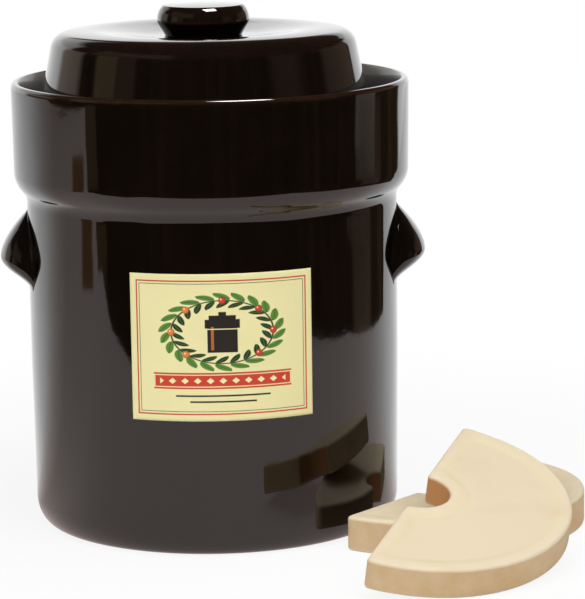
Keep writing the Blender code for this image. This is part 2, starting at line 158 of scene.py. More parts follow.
class KnobSizes(PropertyGroup):
    """The knob; heights are from its foot."""

    radius: length("Radius", "Widest line", KNOB_BOX[1].y)
    foot_radius: length("Foot radius", "Where the knob meets the lid", 0.0252)
    top_radius: length("Top radius", "Edge of the flat top", 0.0264)
    flare_height: length("Flare height", "Height of the widest line", 0.0093)
    height: length("Height", "Middle of the top", KNOB_BOX[1].z - KNOB_BOX[0].z)
    edge_round: length("Edge rounding", "Rounding round the top", 0.0008)
    edge_lean: angle("Edge lean", "Where the edge's rounding ends, from level", 45.0)
    crown: length("Crown", "How much the top is domed", 0.0008)
    side_swing: angle("Side swing", "Part of an ellipse that the side's curve takes", 60.0)
    seat_margin: length("Seat margin", "Flat left round the knob in the dish", 0.0012)
    uneven: length("Unevenness", "Hand work's unevenness", 0.00003)


class LugSizes(PropertyGroup):
    """The two lugs on the sides of the pot; heights are from the lug's foot."""

    foot_height: length("Foot height", "Foot of the lug above the base", LUG_BOX[0].z + 0.004)
    height: length("Height", "Whole height", LUG_BOX[1].z - LUG_BOX[0].z - 0.004)
    underside: length("Underside", "Height of the hollow underside", 0.0195)
    reach: length("Reach", "How far it stands out from the wall", 0.019)
    half_width: length("Half width", "Half of its greatest width", 0.0344)
    widest_height: length("Widest height", "Where it is widest", 0.0065)
    fillet: length("Fillet", "Glaze-filled joint round the lug", 0.0014)
    sink: length("Sink", "How deep the joint's edge lies in the wall", 0.0002)
    root: length("Root", "How deep the back lies in the wall", 0.0025)
    underside_power: share("Underside power", "How square the hollow underside runs out", 1.6)
    top_power: share("Top power", "How late the lug falls back to its top", 1.7)
    arch_power: share("Arch power", "How fast it narrows to its top", 0.62)
    section_power: share("Section power", "How square it is across", 2.6)
    foot_draw_in: share("Foot draw-in", "How much narrower it is at its foot", 0.1)
    margin: share("Margin", "How far the sheet runs past the lug, across, as a part of its width", 0.12)
    overlap: share("Overlap", "How far the sheet runs past the lug, upwards, as a part of its height", 0.05)
    uneven: length("Unevenness", "Hand work's unevenness", 0.00012)
    taken_in: length("Inset", "Room kept for the unevenness", 0.00024)


class LabelSizes(PropertyGroup):
    """The paper label on the front."""

    low_height: length("Lower edge", "Lower edge above the base", LABEL_BOX[0].z)
    height: length("Height", "Height of the paper", LABEL_BOX[1].z - LABEL_BOX[0].z)
    width: length("Width", "Width of the paper along the wall", 0.118)
    thickness: length("Thickness", "Paper and glue", 0.00025)
    lift: length("Lift", "Gap under the paper", 0.00004)
    turn: angle("Turn", "Turn about the pot's axis from the front", 2.3)


class StoneSizes(PropertyGroup):
    """The two half-disc weight stones."""

    radius: length("Radius", "Outside of the disc", 0.0981)
    lower_thickness: length(
        "Lower thickness", "Thickness of the lower stone", STONE_BOX[1].z - STONE_BOX[0].z
    )
    upper_thickness: length("Upper thickness", "Thickness of the upper stone", 0.0206)
    edge: length("Edge", "Rounding of the edges", 0.0025)
    corner: length("Corner", "Rounding of the upright corners", 0.0035)
    hole_radius: length("Finger hole", "Radius of the hole that the two halves share", 0.021)
    band: length("Band", "Width of the raised band", 0.010)
    dish: length("Dish", "Depth of the dish inside the band", 0.0012)
    slope: length("Dish slope", "Half of the width of the dish's slope", 0.004)
    clearance: length("Clearance", "From the pot to the lower stone", 0.0106)
    lower_heading: angle("Lower heading", "Heading of the lower stone from +X", -40.1)
    lower_slide: length("Lower slide", "How far the lower stone lies along its heading's side", 0.0666)
    upper_heading: angle("Upper heading", "Heading of the upper stone from +X", -21.4)
    upper_out: length("Upper shift out", "From lower to upper stone, outwards", 0.0471)
    upper_along: length("Upper shift along", "From lower to upper stone, sideways", -0.0896)
    lean_heading: angle("Lean heading", "Way in which the upper stone leans down", -68.3)
    seam: length("Seam", "Clearance where the stones touch", 0.0003)
    crease: length("Crease", "Softness of the dish's own corners", 0.0022)
    uneven: length("Unevenness", "Hand work's unevenness", 0.00008)
    taken_in: length("Inset", "Room kept for the unevenness", 0.0003)


class Finishes(PropertyGroup):
    """Colours and gloss."""

    glaze: colour("Glaze", "Dark brown glaze where it lies thick", (0.0015, 0.0009, 0.0006))
    glaze_light: colour("Light glaze", "Browner clouds in the glaze", (0.0040, 0.0021, 0.0013))
    glaze_thin: colour("Thin glaze", "Glaze that has run thin over an edge", (0.022, 0.009, 0.005))
    glaze_ior: share("Glaze index", "Index of refraction of the glaze", 1.48)
    glaze_coat: share("Glaze coat", "Weight of the glassy skin over the glaze", 0.5)
    glaze_gloss: share("Glaze roughness", "Roughness of the glaze", 0.035)
    # Painted sheen: this grey stands in for the backdrop's reflection on the collar's inner wall
    glaze_painted_sheen: colour("Dull glaze", "Greyer, matter glaze inside the water channel", (0.15, 0.145, 0.135))
    glaze_swell: length("Swell", "Height of the long soft waves", 0.00016)
    glaze_ripple: length("Ripple", "Height of the short waves", 0.000016)
    glaze_peel: length("Peel", "Height of the fine peel", 0.0000045)
    bare_clay: colour("Bare clay", "Unglazed underside of the pot", (0.36, 0.27, 0.19))
    bare_height: length("Bare height", "Up to where the underside is bare", 0.0004)
    stone: colour("Stone", "Clay of the stones", (0.735, 0.62, 0.44))
    stone_pale: colour("Pale stone", "Rubbed band of the stones", (0.75, 0.645, 0.465))
    # Painted shade: this darker, warmer colour on the stones' sides stands in for their shade; the grain
    # specks take it too
    stone_warm_and_side_shade: colour("Warm stone", "Sides of the stones, toasted by the kiln", (0.60, 0.38, 0.175))
    # Painted shade: the finger hole's wall darker and more orange, where shade and bounced light fall
    stone_hole_shade: colour("Toasted stone", "Wall of the finger hole", (0.56, 0.27, 0.105))
    stone_yellow: colour("Yellow stone", "Slope between band and dish", (0.735, 0.63, 0.405))
    stone_wave: length("Stone waves", "Height of the stones' soft waves", 0.0004)
    stone_grain: length("Stone grain", "Height of the stones' grain and pits", 0.00007)
    paper: colour("Paper", "Ground of the label", (0.90, 0.83, 0.43))
    print_red: colour("Red", "Red ink", (0.62, 0.055, 0.030))
    print_orange: colour("Orange", "Orange ink", (0.80, 0.22, 0.045))
    print_green: colour("Green", "Green ink", (0.10, 0.25, 0.035))
    print_dark: colour("Dark green", "Dark green ink", (0.012, 0.040, 0.014))
    print_black: colour("Black", "Black ink", (0.020, 0.016, 0.012))
    paper_wave: length("Paper waves", "Height of the paper's waves and fibres", 0.00012)


class Fineness(PropertyGroup):
    """Fineness of the surfaces."""

    spacing: length("Spacing", "Longest step along a profile that shows", 0.0014)
    inside_spacing: length("Inside spacing", "Longest step along an inside profile", 0.004)
    turned_steps: IntProperty(name="Turned steps", description="Steps round pot and lid", default=256)
    knob_steps: IntProperty(name="Knob steps", description="Steps round the knob", default=160)
    lug_columns: IntProperty(name="Lug columns", description="Steps across a lug", default=120)
    lug_rows: IntProperty(name="Lug rows", description="Steps up a lug", default=110)
    stone_steps: IntProperty(name="Stone steps", description="Steps along a stone's long arc", default=180)
    label_columns: IntProperty(name="Label columns", description="Steps across the label", default=120)
    label_rows: IntProperty(name="Label rows", description="Steps up the label", default=60)


class StudioSettings(PropertyGroup):
    """Camera, floor and lights."""

    camera_distance: length("Camera distance", "In front of the pot's axis", 1.950)
    camera_height: length("Camera height", "Above the floor", 0.50193)
    camera_yaw: angle("Camera yaw", "Turn to the left", -1.529)
    camera_pitch: angle("Camera pitch", "Tilt down", 10.428)
    camera_roll: angle("Camera roll", "Roll", -0.818)
    focal_pixels: share("Focal length", "Focal length in pixels of the image", 2989.2)
    floor_front: length("Floor front", "How far the floor reaches before the pot", 0.68)
    floor_left: length("Floor left", "How far it reaches to the left", 2.3)
    floor_right: length("Floor right", "How far the floor reaches to the right", 1.20)
    floor_far: length("Floor far", "How far the floor reaches behind", 3.2)
    backdrop: share("Backdrop", "Brightness of the backdrop to mirror rays", 1.15)
    overhead_power: share("Overhead power", "Watts of the lamp over the crock", 13.0)
    left_power: share("Left power", "Watts of the lamp at the left front", 17.0)
    front_power: share("Front power", "Watts of the lamp at the right front", 28.5)
    glint_power: share("Glint power", "Watts of the small lamp that pot and knob mirror", 24.0)
    ambient: share("Ambient", "Light from all round", 0.24)


# Profiles and grids


def arc(centre, reach, start, end, spacing):
    """Points (r, z) of an elliptic arc: the centre plus both radii times cosine and sine of even angles."""
    swing = np.radians(abs(end - start)) * max(reach)
    count = max(4, int(np.ceil(swing / spacing)) + 1)
    angles = np.radians(np.linspace(start, end, count))
    return np.column_stack((centre[0] + reach[0] * np.cos(angles), centre[1] + reach[1] * np.sin(angles)))


def round_arc(centre, radius, start, end, spacing):
    """Points of a round arc."""
    return arc(centre, (radius, radius), start, end, spacing)


def ogee(top, bottom, hollow_share, spacing):
    """A convex arc, then a hollow one, upright at both ends.

    Both turn by twice the angle whose tangent is run over drop, and their radii add up to the
    drop over the sine of that turn.
    """
    run = top[0] - bottom[0]
    drop = top[1] - bottom[1]
    turn = 2 * np.arctan2(run, drop)
    radii = drop / np.sin(turn)
    hollow = hollow_share * radii
    convex = radii - hollow
    swing = np.degrees(turn)
    upper = round_arc((top[0] - convex, top[1]), convex, 0, -swing, spacing)
    lower = round_arc((bottom[0] + hollow, bottom[1]), hollow, 180 - swing, 180, spacing)
    return np.concatenate((upper, lower[1:]))


def ramp(start, end, ease, spacing):
    """A run from one point (r, z) to another, level at both ends, with an even slope between.

    The slope grows evenly over the first part of the run and dies away evenly over the last, so
    the height is half the square of the place over that part, then a straight line, then the same
    mirrored, all over one less the part.
    """
    count = max(4, int(np.ceil(abs(start[0] - end[0]) / spacing)) + 1)
    part = np.linspace(0, 1, count)
    first = part ** 2 / (2 * ease)
    last = 1 - ease - (1 - part) ** 2 / (2 * ease)
    rise = np.where(part < ease, first, np.where(part > 1 - ease, last, part - ease / 2)) / (1 - ease)
    return np.column_stack((start[0] + (end[0] - start[0]) * part, start[1] + (end[1] - start[1]) * rise))


def fill(stretches, spacing):
    """Joins stretches of a profile and splits each gap evenly, so that no step is over the spacing."""
    points = np.concatenate([np.atleast_2d(stretch) for stretch in stretches])
    steps = np.hypot(*np.diff(points, axis=0).T)
    apart = steps > 1e-7
    points = points[np.concatenate(([True], apart))]
    steps = steps[apart]
    counts = np.ceil(steps / spacing).astype(int)
    travelled = np.concatenate(([0.0], np.cumsum(steps)))
    first = np.repeat(np.cumsum(counts) - counts, counts)
    part = (np.arange(counts.sum()) - first) / np.repeat(counts, counts)
    stops = np.append(np.repeat(travelled[:-1], counts) + part * np.repeat(steps, counts), travelled[-1])
    return np.column_stack([np.interp(stops, travelled, column) for column in points.T])


def soften(profile, passes):
    """Rounds a profile as glaze does: each point moves to the mean of itself and its neighbours."""
    for _ in range(passes):
        middle = (profile[:-2] + 2 * profile[1:-1] + profile[2:]) / 4
        profile = np.concatenate((profile[:1], middle, profile[-1:]))
    return profile


def edge_thinness(profile):
    """How sharply a profile bends outwards at each point: its turn over its step, one at 3 mm radius."""
    step = np.gradient(profile, axis=0)
    heading = np.unwrap(np.arctan2(step[:, 1], step[:, 0]))
    bend = -np.gradient(heading) / np.maximum(np.hypot(*step.T), 1e-6)
    return np.clip(bend * 3 * MILLIMETRE, 0, 1)


def unevenness(points, amplitude, seed, wavelength):
    """The gentle unevenness of hand work: the sum of sixteen sine waves across space.

    Their directions, lengths (one to two wavelengths) and phases come from a seeded generator.
    """
    chance = np.random.default_rng(seed)
    count = 16
    ways = chance.normal(size=(count, 3))
    ways /= np.linalg.norm(ways, axis=1, keepdims=True)
    ways *= FULL_TURN / (wavelength * chance.uniform(1, 2, size=(count, 1)))
    phases = chance.uniform(0, FULL_TURN, count)
    return amplitude * np.sin(points @ ways.T + phases).sum(axis=-1) * np.sqrt(2 / count)


def grid_faces(rows, columns, rows_wrap):
    """Quads between neighbours of a grid whose columns close on themselves, and whose rows may."""
    index = np.arange(rows * columns).reshape(rows, columns)
    if rows_wrap:
        index = np.concatenate((index, index[:1]))
    index = np.concatenate((index, index[:, :1]), axis=1)
    corners = (index[:-1, :-1], index[1:, :-1], index[1:, 1:], index[:-1, 1:])
    return np.stack(corners, axis=-1).reshape(-1, 4)


def surface_object(name, points, marks, uv=None, rows_wrap=False):
    """An object from a grid of points, with its doubles merged and smooth shading.

    marks are numbers on the points, kept as attributes; uv gives each point its place on a print.
    """
    faces = grid_faces(*points.shape[:2], rows_wrap)
    mesh = bpy.data.meshes.new(name)
    mesh.from_pydata(points.reshape(-1, 3), [], faces)
    for mark, values in marks.items():
        attribute = mesh.attributes.new(mark, "FLOAT", "POINT")
        attribute.data.foreach_set("value", values.astype(np.float32).ravel())
    if uv is not None:
        layer = mesh.uv_layers.new(name="print")
        layer.data.foreach_set("uv", uv.reshape(-1, 2)[faces.ravel()].astype(np.float32).ravel())
    work = bmesh.new()
    work.from_mesh(mesh)
    bmesh.ops.remove_doubles(work, verts=work.verts, dist=0.000002)
    bmesh.ops.recalc_face_normals(work, faces=work.faces)
    work.to_mesh(mesh)
    work.free()
    mesh.shade_smooth()
    made = bpy.data.objects.new(name, mesh)
    bpy.context.scene.collection.objects.link(made)
    return made


def close_ends(piece):
    """Closes the open rows at a piece's two ends with one face each."""
    work = bmesh.new()
    work.from_mesh(piece.data)
    bmesh.ops.holes_fill(work, edges=[edge for edge in work.edges if edge.is_boundary], sides=0)
    bmesh.ops.triangulate(work, faces=[face for face in work.faces if len(face.verts) > 4])
    bmesh.ops.recalc_face_normals(work, faces=work.faces)
    work.to_mesh(piece.data)
    work.free()
    piece.data.shade_smooth()


def turned_piece(name, profile, steps, axis, wobble, hand_work, notch=None):
    """A profile (r, z) turned about an upright axis through the point axis.

    Each point is r times cosine and sine of the turn, z above the axis point; r is then taken in
    by a slight unevenness, never out, so that the piece stays within its true radius.
    """
    turn = np.linspace(0, FULL_TURN, steps, endpoint=False)
    radius, height = np.broadcast_arrays(profile[:, :1], profile[:, 1:])
    radius = np.repeat(radius, steps, axis=1)
    height = np.repeat(height, steps, axis=1)
    if notch:
        height = notch(radius, height, turn)
    points = np.stack((radius * np.cos(turn), radius * np.sin(turn), height), axis=-1)
    taken_in = 1 - (wobble + unevenness(points, wobble / 2, *hand_work)) / profile[:, 0].max()
    points[..., :2] *= taken_in[..., None]
    points += np.array(axis)
    thin = np.repeat(edge_thinness(profile)[:, None], steps, axis=1)
    return surface_object(name, points, {"thin": thin})


def pot_profile(pot, fine):
    """Cavity floor, cavity, neck and channel, then collar, body and base, from axis to axis.

    Straight parts take steps twice as long as the roundings.
    """
    inside = fine.inside_spacing
    outside = fine.spacing
    channel_z = pot.rim_height - pot.channel_depth
    channel_radius = pot.collar_radius - pot.collar_wall
    cavity_radius = pot.body_radius - pot.taper - pot.wall
    mouth_radius = pot.neck_radius - pot.neck_wall
    shoulder_z = channel_z - pot.shoulder_wall
    lip = pot.neck_wall / 2
    rim_in = pot.collar_wall - pot.rim_out - pot.rim_flat
    low = channel_z + pot.channel_fillet
    foot_z = pot.rim_height - pot.collar_height
    hidden = fill([
        (0.0, pot.floor),
        round_arc(
            (cavity_radius - pot.cavity_corner, pot.floor + pot.cavity_corner),
            pot.cavity_corner, -90, 0, inside,
        ),
        round_arc(
            (cavity_radius - pot.shoulder_curve, shoulder_z - pot.shoulder_curve),
            pot.shoulder_curve, 0, 90, inside,
        ),
        round_arc(
            (mouth_radius + pot.mouth_fillet, shoulder_z + pot.mouth_fillet),
            pot.mouth_fillet, 270, 180, outside,
        ),
        (mouth_radius, pot.rim_height - pot.neck_drop - 2 * lip),
    ], 2 * inside)
    shown = fill([
        round_arc((mouth_radius + lip, pot.rim_height - pot.neck_drop - lip), lip, 180, 0, outside / 2),
        round_arc((pot.neck_radius + pot.channel_fillet, low), pot.channel_fillet, 180, 270, outside),
        round_arc((channel_radius - pot.channel_fillet, low), pot.channel_fillet, -90, 0, outside),
        arc(
            (channel_radius + rim_in, pot.rim_height - pot.rim_inside),
            (rim_in, pot.rim_inside), 180, 90, outside / 3,
        ),
        arc(
            (pot.collar_radius - pot.rim_out, pot.rim_height - pot.rim_down),
            (pot.rim_out, pot.rim_down), 90, 0, outside / 3,
        ),
        ogee(
            (pot.collar_radius - pot.collar_draft, foot_z + pot.flare_height),
            (pot.body_radius, foot_z), pot.flare_share, outside / 2,
        ),
        (pot.body_radius, pot.taper_height),
        arc(
            (pot.body_radius - pot.taper - pot.corner_out, pot.corner_up),
            (pot.corner_out, pot.corner_up), 0, -90, outside / 2,
        ),
    ], 2 * outside)
    base = fill([shown[-1], (0.0, 0.0)], 2 * inside)
    return np.concatenate((hidden, soften(shown, 2), base[1:]))


def lid_profile(lid, knob, fine):
    """Dish, crown, shoulder and skirt, then the inside back to the axis; z from the skirt's foot.

    Outside its crest the crown falls in a wide arc, which runs into the shoulder's rounding, and
    that into the shoulder's straight slope. The angle where the arcs meet comes from the distance
    of the slope's line to the wide arc's centre.
    """
    outside = fine.spacing
    seat_radius = knob.foot_radius + knob.seat_margin
    waist_radius = lid.skirt_radius - lid.skirt_draft
    crest_z = lid.height - lid.crest_fall
    outwards = (waist_radius - lid.crest_radius) * np.cos(lid.lean)
    across = outwards + (lid.skirt_height - crest_z) * np.sin(lid.lean)
    between = lid.crest_fall - lid.rounding
    turn = lid.lean + np.arccos((across - lid.rounding) / between)
    centre = (lid.crest_radius + between * np.cos(turn), crest_z + between * np.sin(turn))
    inside_round = lid.rounding - lid.skirt_wall / 2
    inside_z = lid.height - lid.crown_wall
    inside_centre = (centre[0] + lid.rounding - lid.skirt_wall - inside_round, inside_z - inside_round)
    foot = lid.skirt_wall / 2
    lean = np.degrees(lid.lean)
    dish_z = lid.height - lid.dish_depth
    shown = fill([
        (0.0, dish_z),
        ramp((seat_radius, dish_z), (lid.crest_radius, lid.height), lid.dish_ease, outside),
        round_arc((lid.crest_radius, crest_z), lid.crest_fall, 90, np.degrees(turn), outside),
        round_arc(centre, lid.rounding, np.degrees(turn), lean, outside / 2),
        (waist_radius, lid.skirt_height),
        round_arc((lid.skirt_radius - foot, foot), foot, 0, -180, outside / 2),
    ], outside)
    low_z = inside_z - lid.dish_depth
    hidden = fill([
        (waist_radius - lid.skirt_wall, lid.skirt_height),
        round_arc(inside_centre, inside_round, lean, 90, outside),
        ramp((lid.crest_radius, inside_z), (seat_radius, low_z), lid.dish_ease, fine.inside_spacing),
        (0.0, low_z),
    ], fine.inside_spacing)
    return np.concatenate((soften(shown, 3), hidden))


def knob_profile(knob, fine):
    """Domed top, crisp edge, side as part of an ellipse, widest line and cone; z from its foot."""
    spacing = fine.spacing / 3
    top_z = knob.height - knob.crown
    edge_centre = (knob.top_radius - knob.edge_round * np.cos(knob.edge_lean), top_z - knob.edge_round)
    edge = round_arc(edge_centre, knob.edge_round, 90, np.degrees(knob.edge_lean), spacing)
    side_out = (knob.radius - knob.top_radius) / (1 - np.cos(knob.side_swing))
    side_up = (edge[-1, 1] - knob.flare_height) / np.sin(knob.side_swing)
    side_centre = (knob.radius - side_out, knob.flare_height)
    outline = fill([
        (0.0, knob.height),
        (knob.top_radius / 2, knob.height - knob.crown / 4),
        edge,
        arc(side_centre, (side_out, side_up), np.degrees(knob.side_swing), 0, spacing),
        (knob.foot_radius, 0.0),
    ], spacing)
    base = fill([(knob.foot_radius, 0.0), (0.0, 0.0)], fine.inside_spacing)
    return np.concatenate((soften(outline, 2), base[1:]))


def lug_points(lug, pot, side, fine):
    """A lug as a sheet over the pot's wall, and the same sheet's back inside the wall.

    Across is the place over the width and up the place over the height. The sheet stands off the
    wall by the smooth maximum of nothing and the lug's shape, so that it runs out in a fillet.
    The shape is the reach at that height, times a superellipse across. Below the foot and beyond
    the sides it falls away, so that the sheet's edge lies in the wall.
    """
    across = (1 + lug.margin) * np.sin(np.pi / 2 * np.linspace(-1, 1, fine.lug_columns))
    rise = (1 - np.cos(np.pi * np.linspace(0, 1, fine.lug_rows))) / 2
    height = (lug.height * ((1 + 2 * lug.overlap) * rise - lug.overlap))[:, None]
    below = np.clip(1 - height / lug.underside, 0, 1)
    above = np.clip((height - lug.underside) / (lug.height - lug.underside), 0, None)
    hollow = np.cos(np.pi / 2 * below) ** lug.underside_power
    reach = lug.reach * np.where(height < lug.underside, hollow, 1 - above ** lug.top_power)
    reach = np.where(height < 0, 2 * height, reach)
    upper = np.clip((height - lug.widest_height) / (lug.height - lug.widest_height), 0, 1)
    drawn_in = np.clip(1 - height / lug.widest_height, 0, 1)
    arch = (1 - upper ** 2) ** lug.arch_power
    width = lug.half_width * np.where(upper > 0, arch, 1 - lug.foot_draw_in * drawn_in ** 2)
    width = np.maximum(width, lug.half_width / 8)
    bow = np.clip(1 - np.abs(across) ** lug.section_power, 0, None) ** (1 / lug.section_power)
    beyond = np.minimum(2 * width * (1 - np.abs(across)), 0)
    shape = np.where(reach < 0, reach, reach * bow) + beyond
    stand_off = (shape + np.sqrt(shape ** 2 + lug.fillet ** 2)) / 2 - lug.sink
    stand_off = np.minimum(stand_off, lug.reach + pot.body_radius)
    turn = width * across / pot.body_radius
    sheets = []
    for out in (pot.body_radius + stand_off, np.full_like(stand_off, pot.body_radius - lug.root)):
        z = np.broadcast_to(lug.foot_height + height, turn.shape)
        sheets.append(np.stack((side * out * np.cos(turn), out * np.sin(turn), z), axis=-1))
    return np.concatenate((sheets[0], sheets[1][:, ::-1]), axis=1), stand_off


def label_points(label, pot, fine):
    """A bent sheet as a closed band: over the face, round the edge and back behind it.

    Each point is a place across as a turn about the pot's axis and a place up as a height; the
    face and the back differ in radius. uv is the same for both.
    """
    columns = np.linspace(0, 1, fine.label_columns)
    rows = np.linspace(0, 1, fine.label_rows)
    back = pot.body_radius + label.lift
    front = back + label.thickness
    across = np.concatenate((columns, columns[::-1]))
    radius = np.concatenate((np.full(len(columns), front), np.full(len(columns), back)))
    turn = (across - 0.5) * label.width / front - np.pi / 2 + label.turn
    up = rows[:, None] + np.zeros(len(across))
    radius = radius + np.zeros(up.shape)
    # the first and last rows are drawn together to the back, so that the sheet closes
    ends = np.concatenate((up[:1], up, up[-1:]))
    radius = np.concatenate((np.full((1, len(across)), back), radius, np.full((1, len(across)), back)))
    z = label.low_height + label.height * ends
    points = np.stack((radius * np.cos(turn), radius * np.sin(turn), z), axis=-1)
    uv = np.stack((np.broadcast_to(across, ends.shape), ends), axis=-1)
    face = (radius > back + label.thickness / 2) * 1.0
    return points, uv, face


def stone_loop(stone, steps):
    """The stone's outline taken in by its corner radius, with the way out at each point.

    The outline is a half disc less a half finger hole. Taken in by the corner radius it has four
    plain corners. Round each, the way out swings from one side's to the next side's, so that the
    outline itself gets round corners. The anchor is a place on the stone's middle arc for each
    point, on which the top and the underside close.
    """
    outer = stone.radius - stone.corner
    hole = stone.hole_radius + stone.corner
    outer_end = np.arccos(stone.corner / outer)
    hole_end = np.arccos(stone.corner / hole)
    swing_steps = 14
    chord_steps = 40
    middle = (outer + hole) / 2
    anchor_end = 0.86 * outer_end
    parts = []

    def take(points, ways, anchor_angles):
        parts.append((points, ways, middle * np.column_stack((np.cos(anchor_angles), np.sin(anchor_angles)))))

    def unit(angles):
        return np.column_stack((np.cos(angles), np.sin(angles)))

    def corner(point, start, end, anchor):
        ways = np.linspace(start, end, swing_steps)[1:-1]
        take(np.tile(point, (len(ways), 1)), unit(ways), np.full(len(ways), anchor))

    swept = np.linspace(-outer_end, outer_end, steps)
    take(outer * unit(swept), unit(swept), swept * anchor_end / outer_end)
    high = outer * unit(np.array([outer_end]))[0]
    corner(high, outer_end, np.pi, anchor_end)
    chord = np.linspace(outer * np.sin(outer_end), hole * np.sin(hole_end), chord_steps)
    along = np.column_stack((np.full(chord_steps, stone.corner), chord))
    take(along, np.tile((-1.0, 0.0), (chord_steps, 1)), np.full(chord_steps, anchor_end))
    inner = hole * unit(np.array([hole_end]))[0]
    corner(inner, np.pi, np.pi + hole_end, anchor_end)
    swept = np.linspace(hole_end, -hole_end, steps)
    take(hole * unit(swept), -unit(swept), swept * anchor_end / hole_end)
    corner(inner * (1, -1), np.pi - hole_end, np.pi, -anchor_end)
    take(along[::-1] * (1, -1), np.tile((-1.0, 0.0), (chord_steps, 1)), np.full(chord_steps, -anchor_end))
    corner(high * (1, -1), np.pi, FULL_TURN - outer_end, -anchor_end)
    return [np.concatenate(part) for part in zip(*parts)]


def soft_least(values, radius):
    """The least of several arrays, with its creases rounded: minus a log of a sum of powers."""
    return -radius * np.log(sum(np.exp(-value / radius) for value in values))


def stone_points(stone, thickness, fine):
    """A stone as loops from its middle arc out under it, up its side and back in over its top.

    The depth of the top is a smooth step of the distance from the outline: the band is level and
    the dish lies lower. The side's edges are quarter rounds. The marks tell side, band and hole.
    """
    flat_steps, straight_steps, round_steps, wall_steps = 33, 7, 8, 11
    rim, ways, anchors = stone_loop(stone, fine.stone_steps)
    spread = np.linspace(0, 1, flat_steps + 1)[:, None, None]
    flat = anchors + (rim - anchors) * spread
    quarter = np.radians(np.linspace(0, 90, round_steps + 1)[1:])
    straight = stone.corner - stone.edge
    level_out = np.linspace(0, straight, straight_steps + 1)[1:]
    out = np.concatenate((level_out, straight + stone.edge * np.sin(quarter)))
    drop = np.concatenate((np.zeros(straight_steps), stone.edge * (1 - np.cos(quarter))))
    band = rim + ways * out[:, None, None]
    half = np.concatenate((flat, band))
    half_drop = np.concatenate((np.zeros(len(spread)), drop))[:, None] + np.zeros(len(rim))
    wall = np.linspace(stone.edge, thickness - stone.edge, wall_steps + 1)[1:-1]
    around = np.broadcast_to(half[-1], (len(wall), *half[-1].shape))
    plan = np.concatenate((half, around, half[::-1]))
    reach = np.hypot(plan[..., 0], plan[..., 1])
    inset = soft_least((stone.radius - reach, reach - stone.hole_radius, plan[..., 0]), stone.crease)
    part = np.clip((inset - stone.band + stone.slope) / (2 * stone.slope), 0, 1)
    dished = stone.dish * part * part * (3 - 2 * part)
    upright = np.ones((len(wall), len(rim)))
    z = np.concatenate((half_drop, wall[:, None] * upright, thickness - half_drop[::-1]))
    top = slice(len(half) + len(wall), None)
    z[top] -= dished[top]
    points = np.concatenate((plan, z[..., None]), axis=-1)
    side = np.concatenate((half_drop / stone.edge, upright, half_drop[::-1] / stone.edge)) ** 2
    near_hole = np.clip(1 - (reach - stone.hole_radius) / stone.corner, 0, 1) * (plan[..., 0] > -stone.edge)
    return points, {"side": side, "band": 1 - part, "hole": near_hole * side}


def lean_of(stone, distance):
    """Tilt at which the upper stone touches both the floor and the lower stone's rounded edge.

    The upper stone's centre rises with the sine of the tilt. Its height over the other's edge
    rounding has to be that rounding and the seam, and the tilt that gives it is read from an even
    run of tilts, 200 to the degree.
    """
    tilts = np.radians(np.linspace(1, 45, 44 * 200 + 1))
    arm = stone.radius - stone.edge
    centre = arm * np.sin(tilts) + stone.edge * (1 - np.cos(tilts))
    above = centre - stone.lower_thickness + stone.edge
    over = np.cos(tilts) * above - distance * np.sin(tilts) - stone.edge
    return float(np.interp(stone.seam, over, tilts))


def stone_places(stone, pot):
    """Matrices that set the lower stone by the pot and lean the upper one on it."""
    out = np.array((np.cos(stone.lower_heading), np.sin(stone.lower_heading)))
    along = np.array((-out[1], out[0]))
    lower = out * (pot.body_radius + stone.clearance) + along * stone.lower_slide
    upper = lower + out * stone.upper_out + along * stone.upper_along
    downhill = np.array((np.cos(stone.lean_heading), np.sin(stone.lean_heading)))
    tilt = lean_of(stone, (lower - upper) @ downhill + stone.radius - stone.edge)
    rise = (stone.radius - stone.edge) * np.sin(tilt) + stone.edge * (1 - np.cos(tilt))
    axis = (-downhill[1], downhill[0], 0.0)
    flat = Matrix.Translation((*lower, 0.0)) @ Matrix.Rotation(stone.lower_heading, 4, "Z")
    lean = Matrix.Rotation(tilt, 4, axis) @ Matrix.Rotation(stone.upper_heading, 4, "Z")
    return flat, Matrix.Translation((*upper, rise)) @ lean


def placed(points, matrix):
    """The same points, moved by a matrix."""
    rows = np.array(matrix)
    return points @ rows[:3, :3].T + rows[:3, 3]


# Materials


class Socket:
    """A node's output that takes part in Python arithmetic; each operator adds one Math node."""

    def __init__(self, board, output):
        self.board = board
        self.output = output

    def maths(self, operation, first, second=0.0, clamp=False):
        settings = {"operation": operation, "use_clamp": clamp}
        return self.board.add("ShaderNodeMath", settings, {0: first, 1: second})

    def __add__(self, other):
        return self.maths("ADD", self, other)

    def __sub__(self, other):
        return self.maths("SUBTRACT", self, other)

    def __rsub__(self, other):
        return self.maths("SUBTRACT", other, self)

    def __mul__(self, other):
        return self.maths("MULTIPLY", self, other)

    def __truediv__(self, other):
        return self.maths("DIVIDE", self, other)

    def __pow__(self, other):
        return self.maths("POWER", self, other)

    def __abs__(self):
        return self.maths("ABSOLUTE", self)

    def __mod__(self, other):
        return self.maths("FLOORED_MODULO", self, other)

    __radd__ = __add__
    __rmul__ = __mul__

    def held(self):
        """The value held between 0 and 1."""
        return self.maths("ADD", self, 0.0, True)

    def most(self, other):
        """The greater of two values."""
        return self.maths("MAXIMUM", self, other)


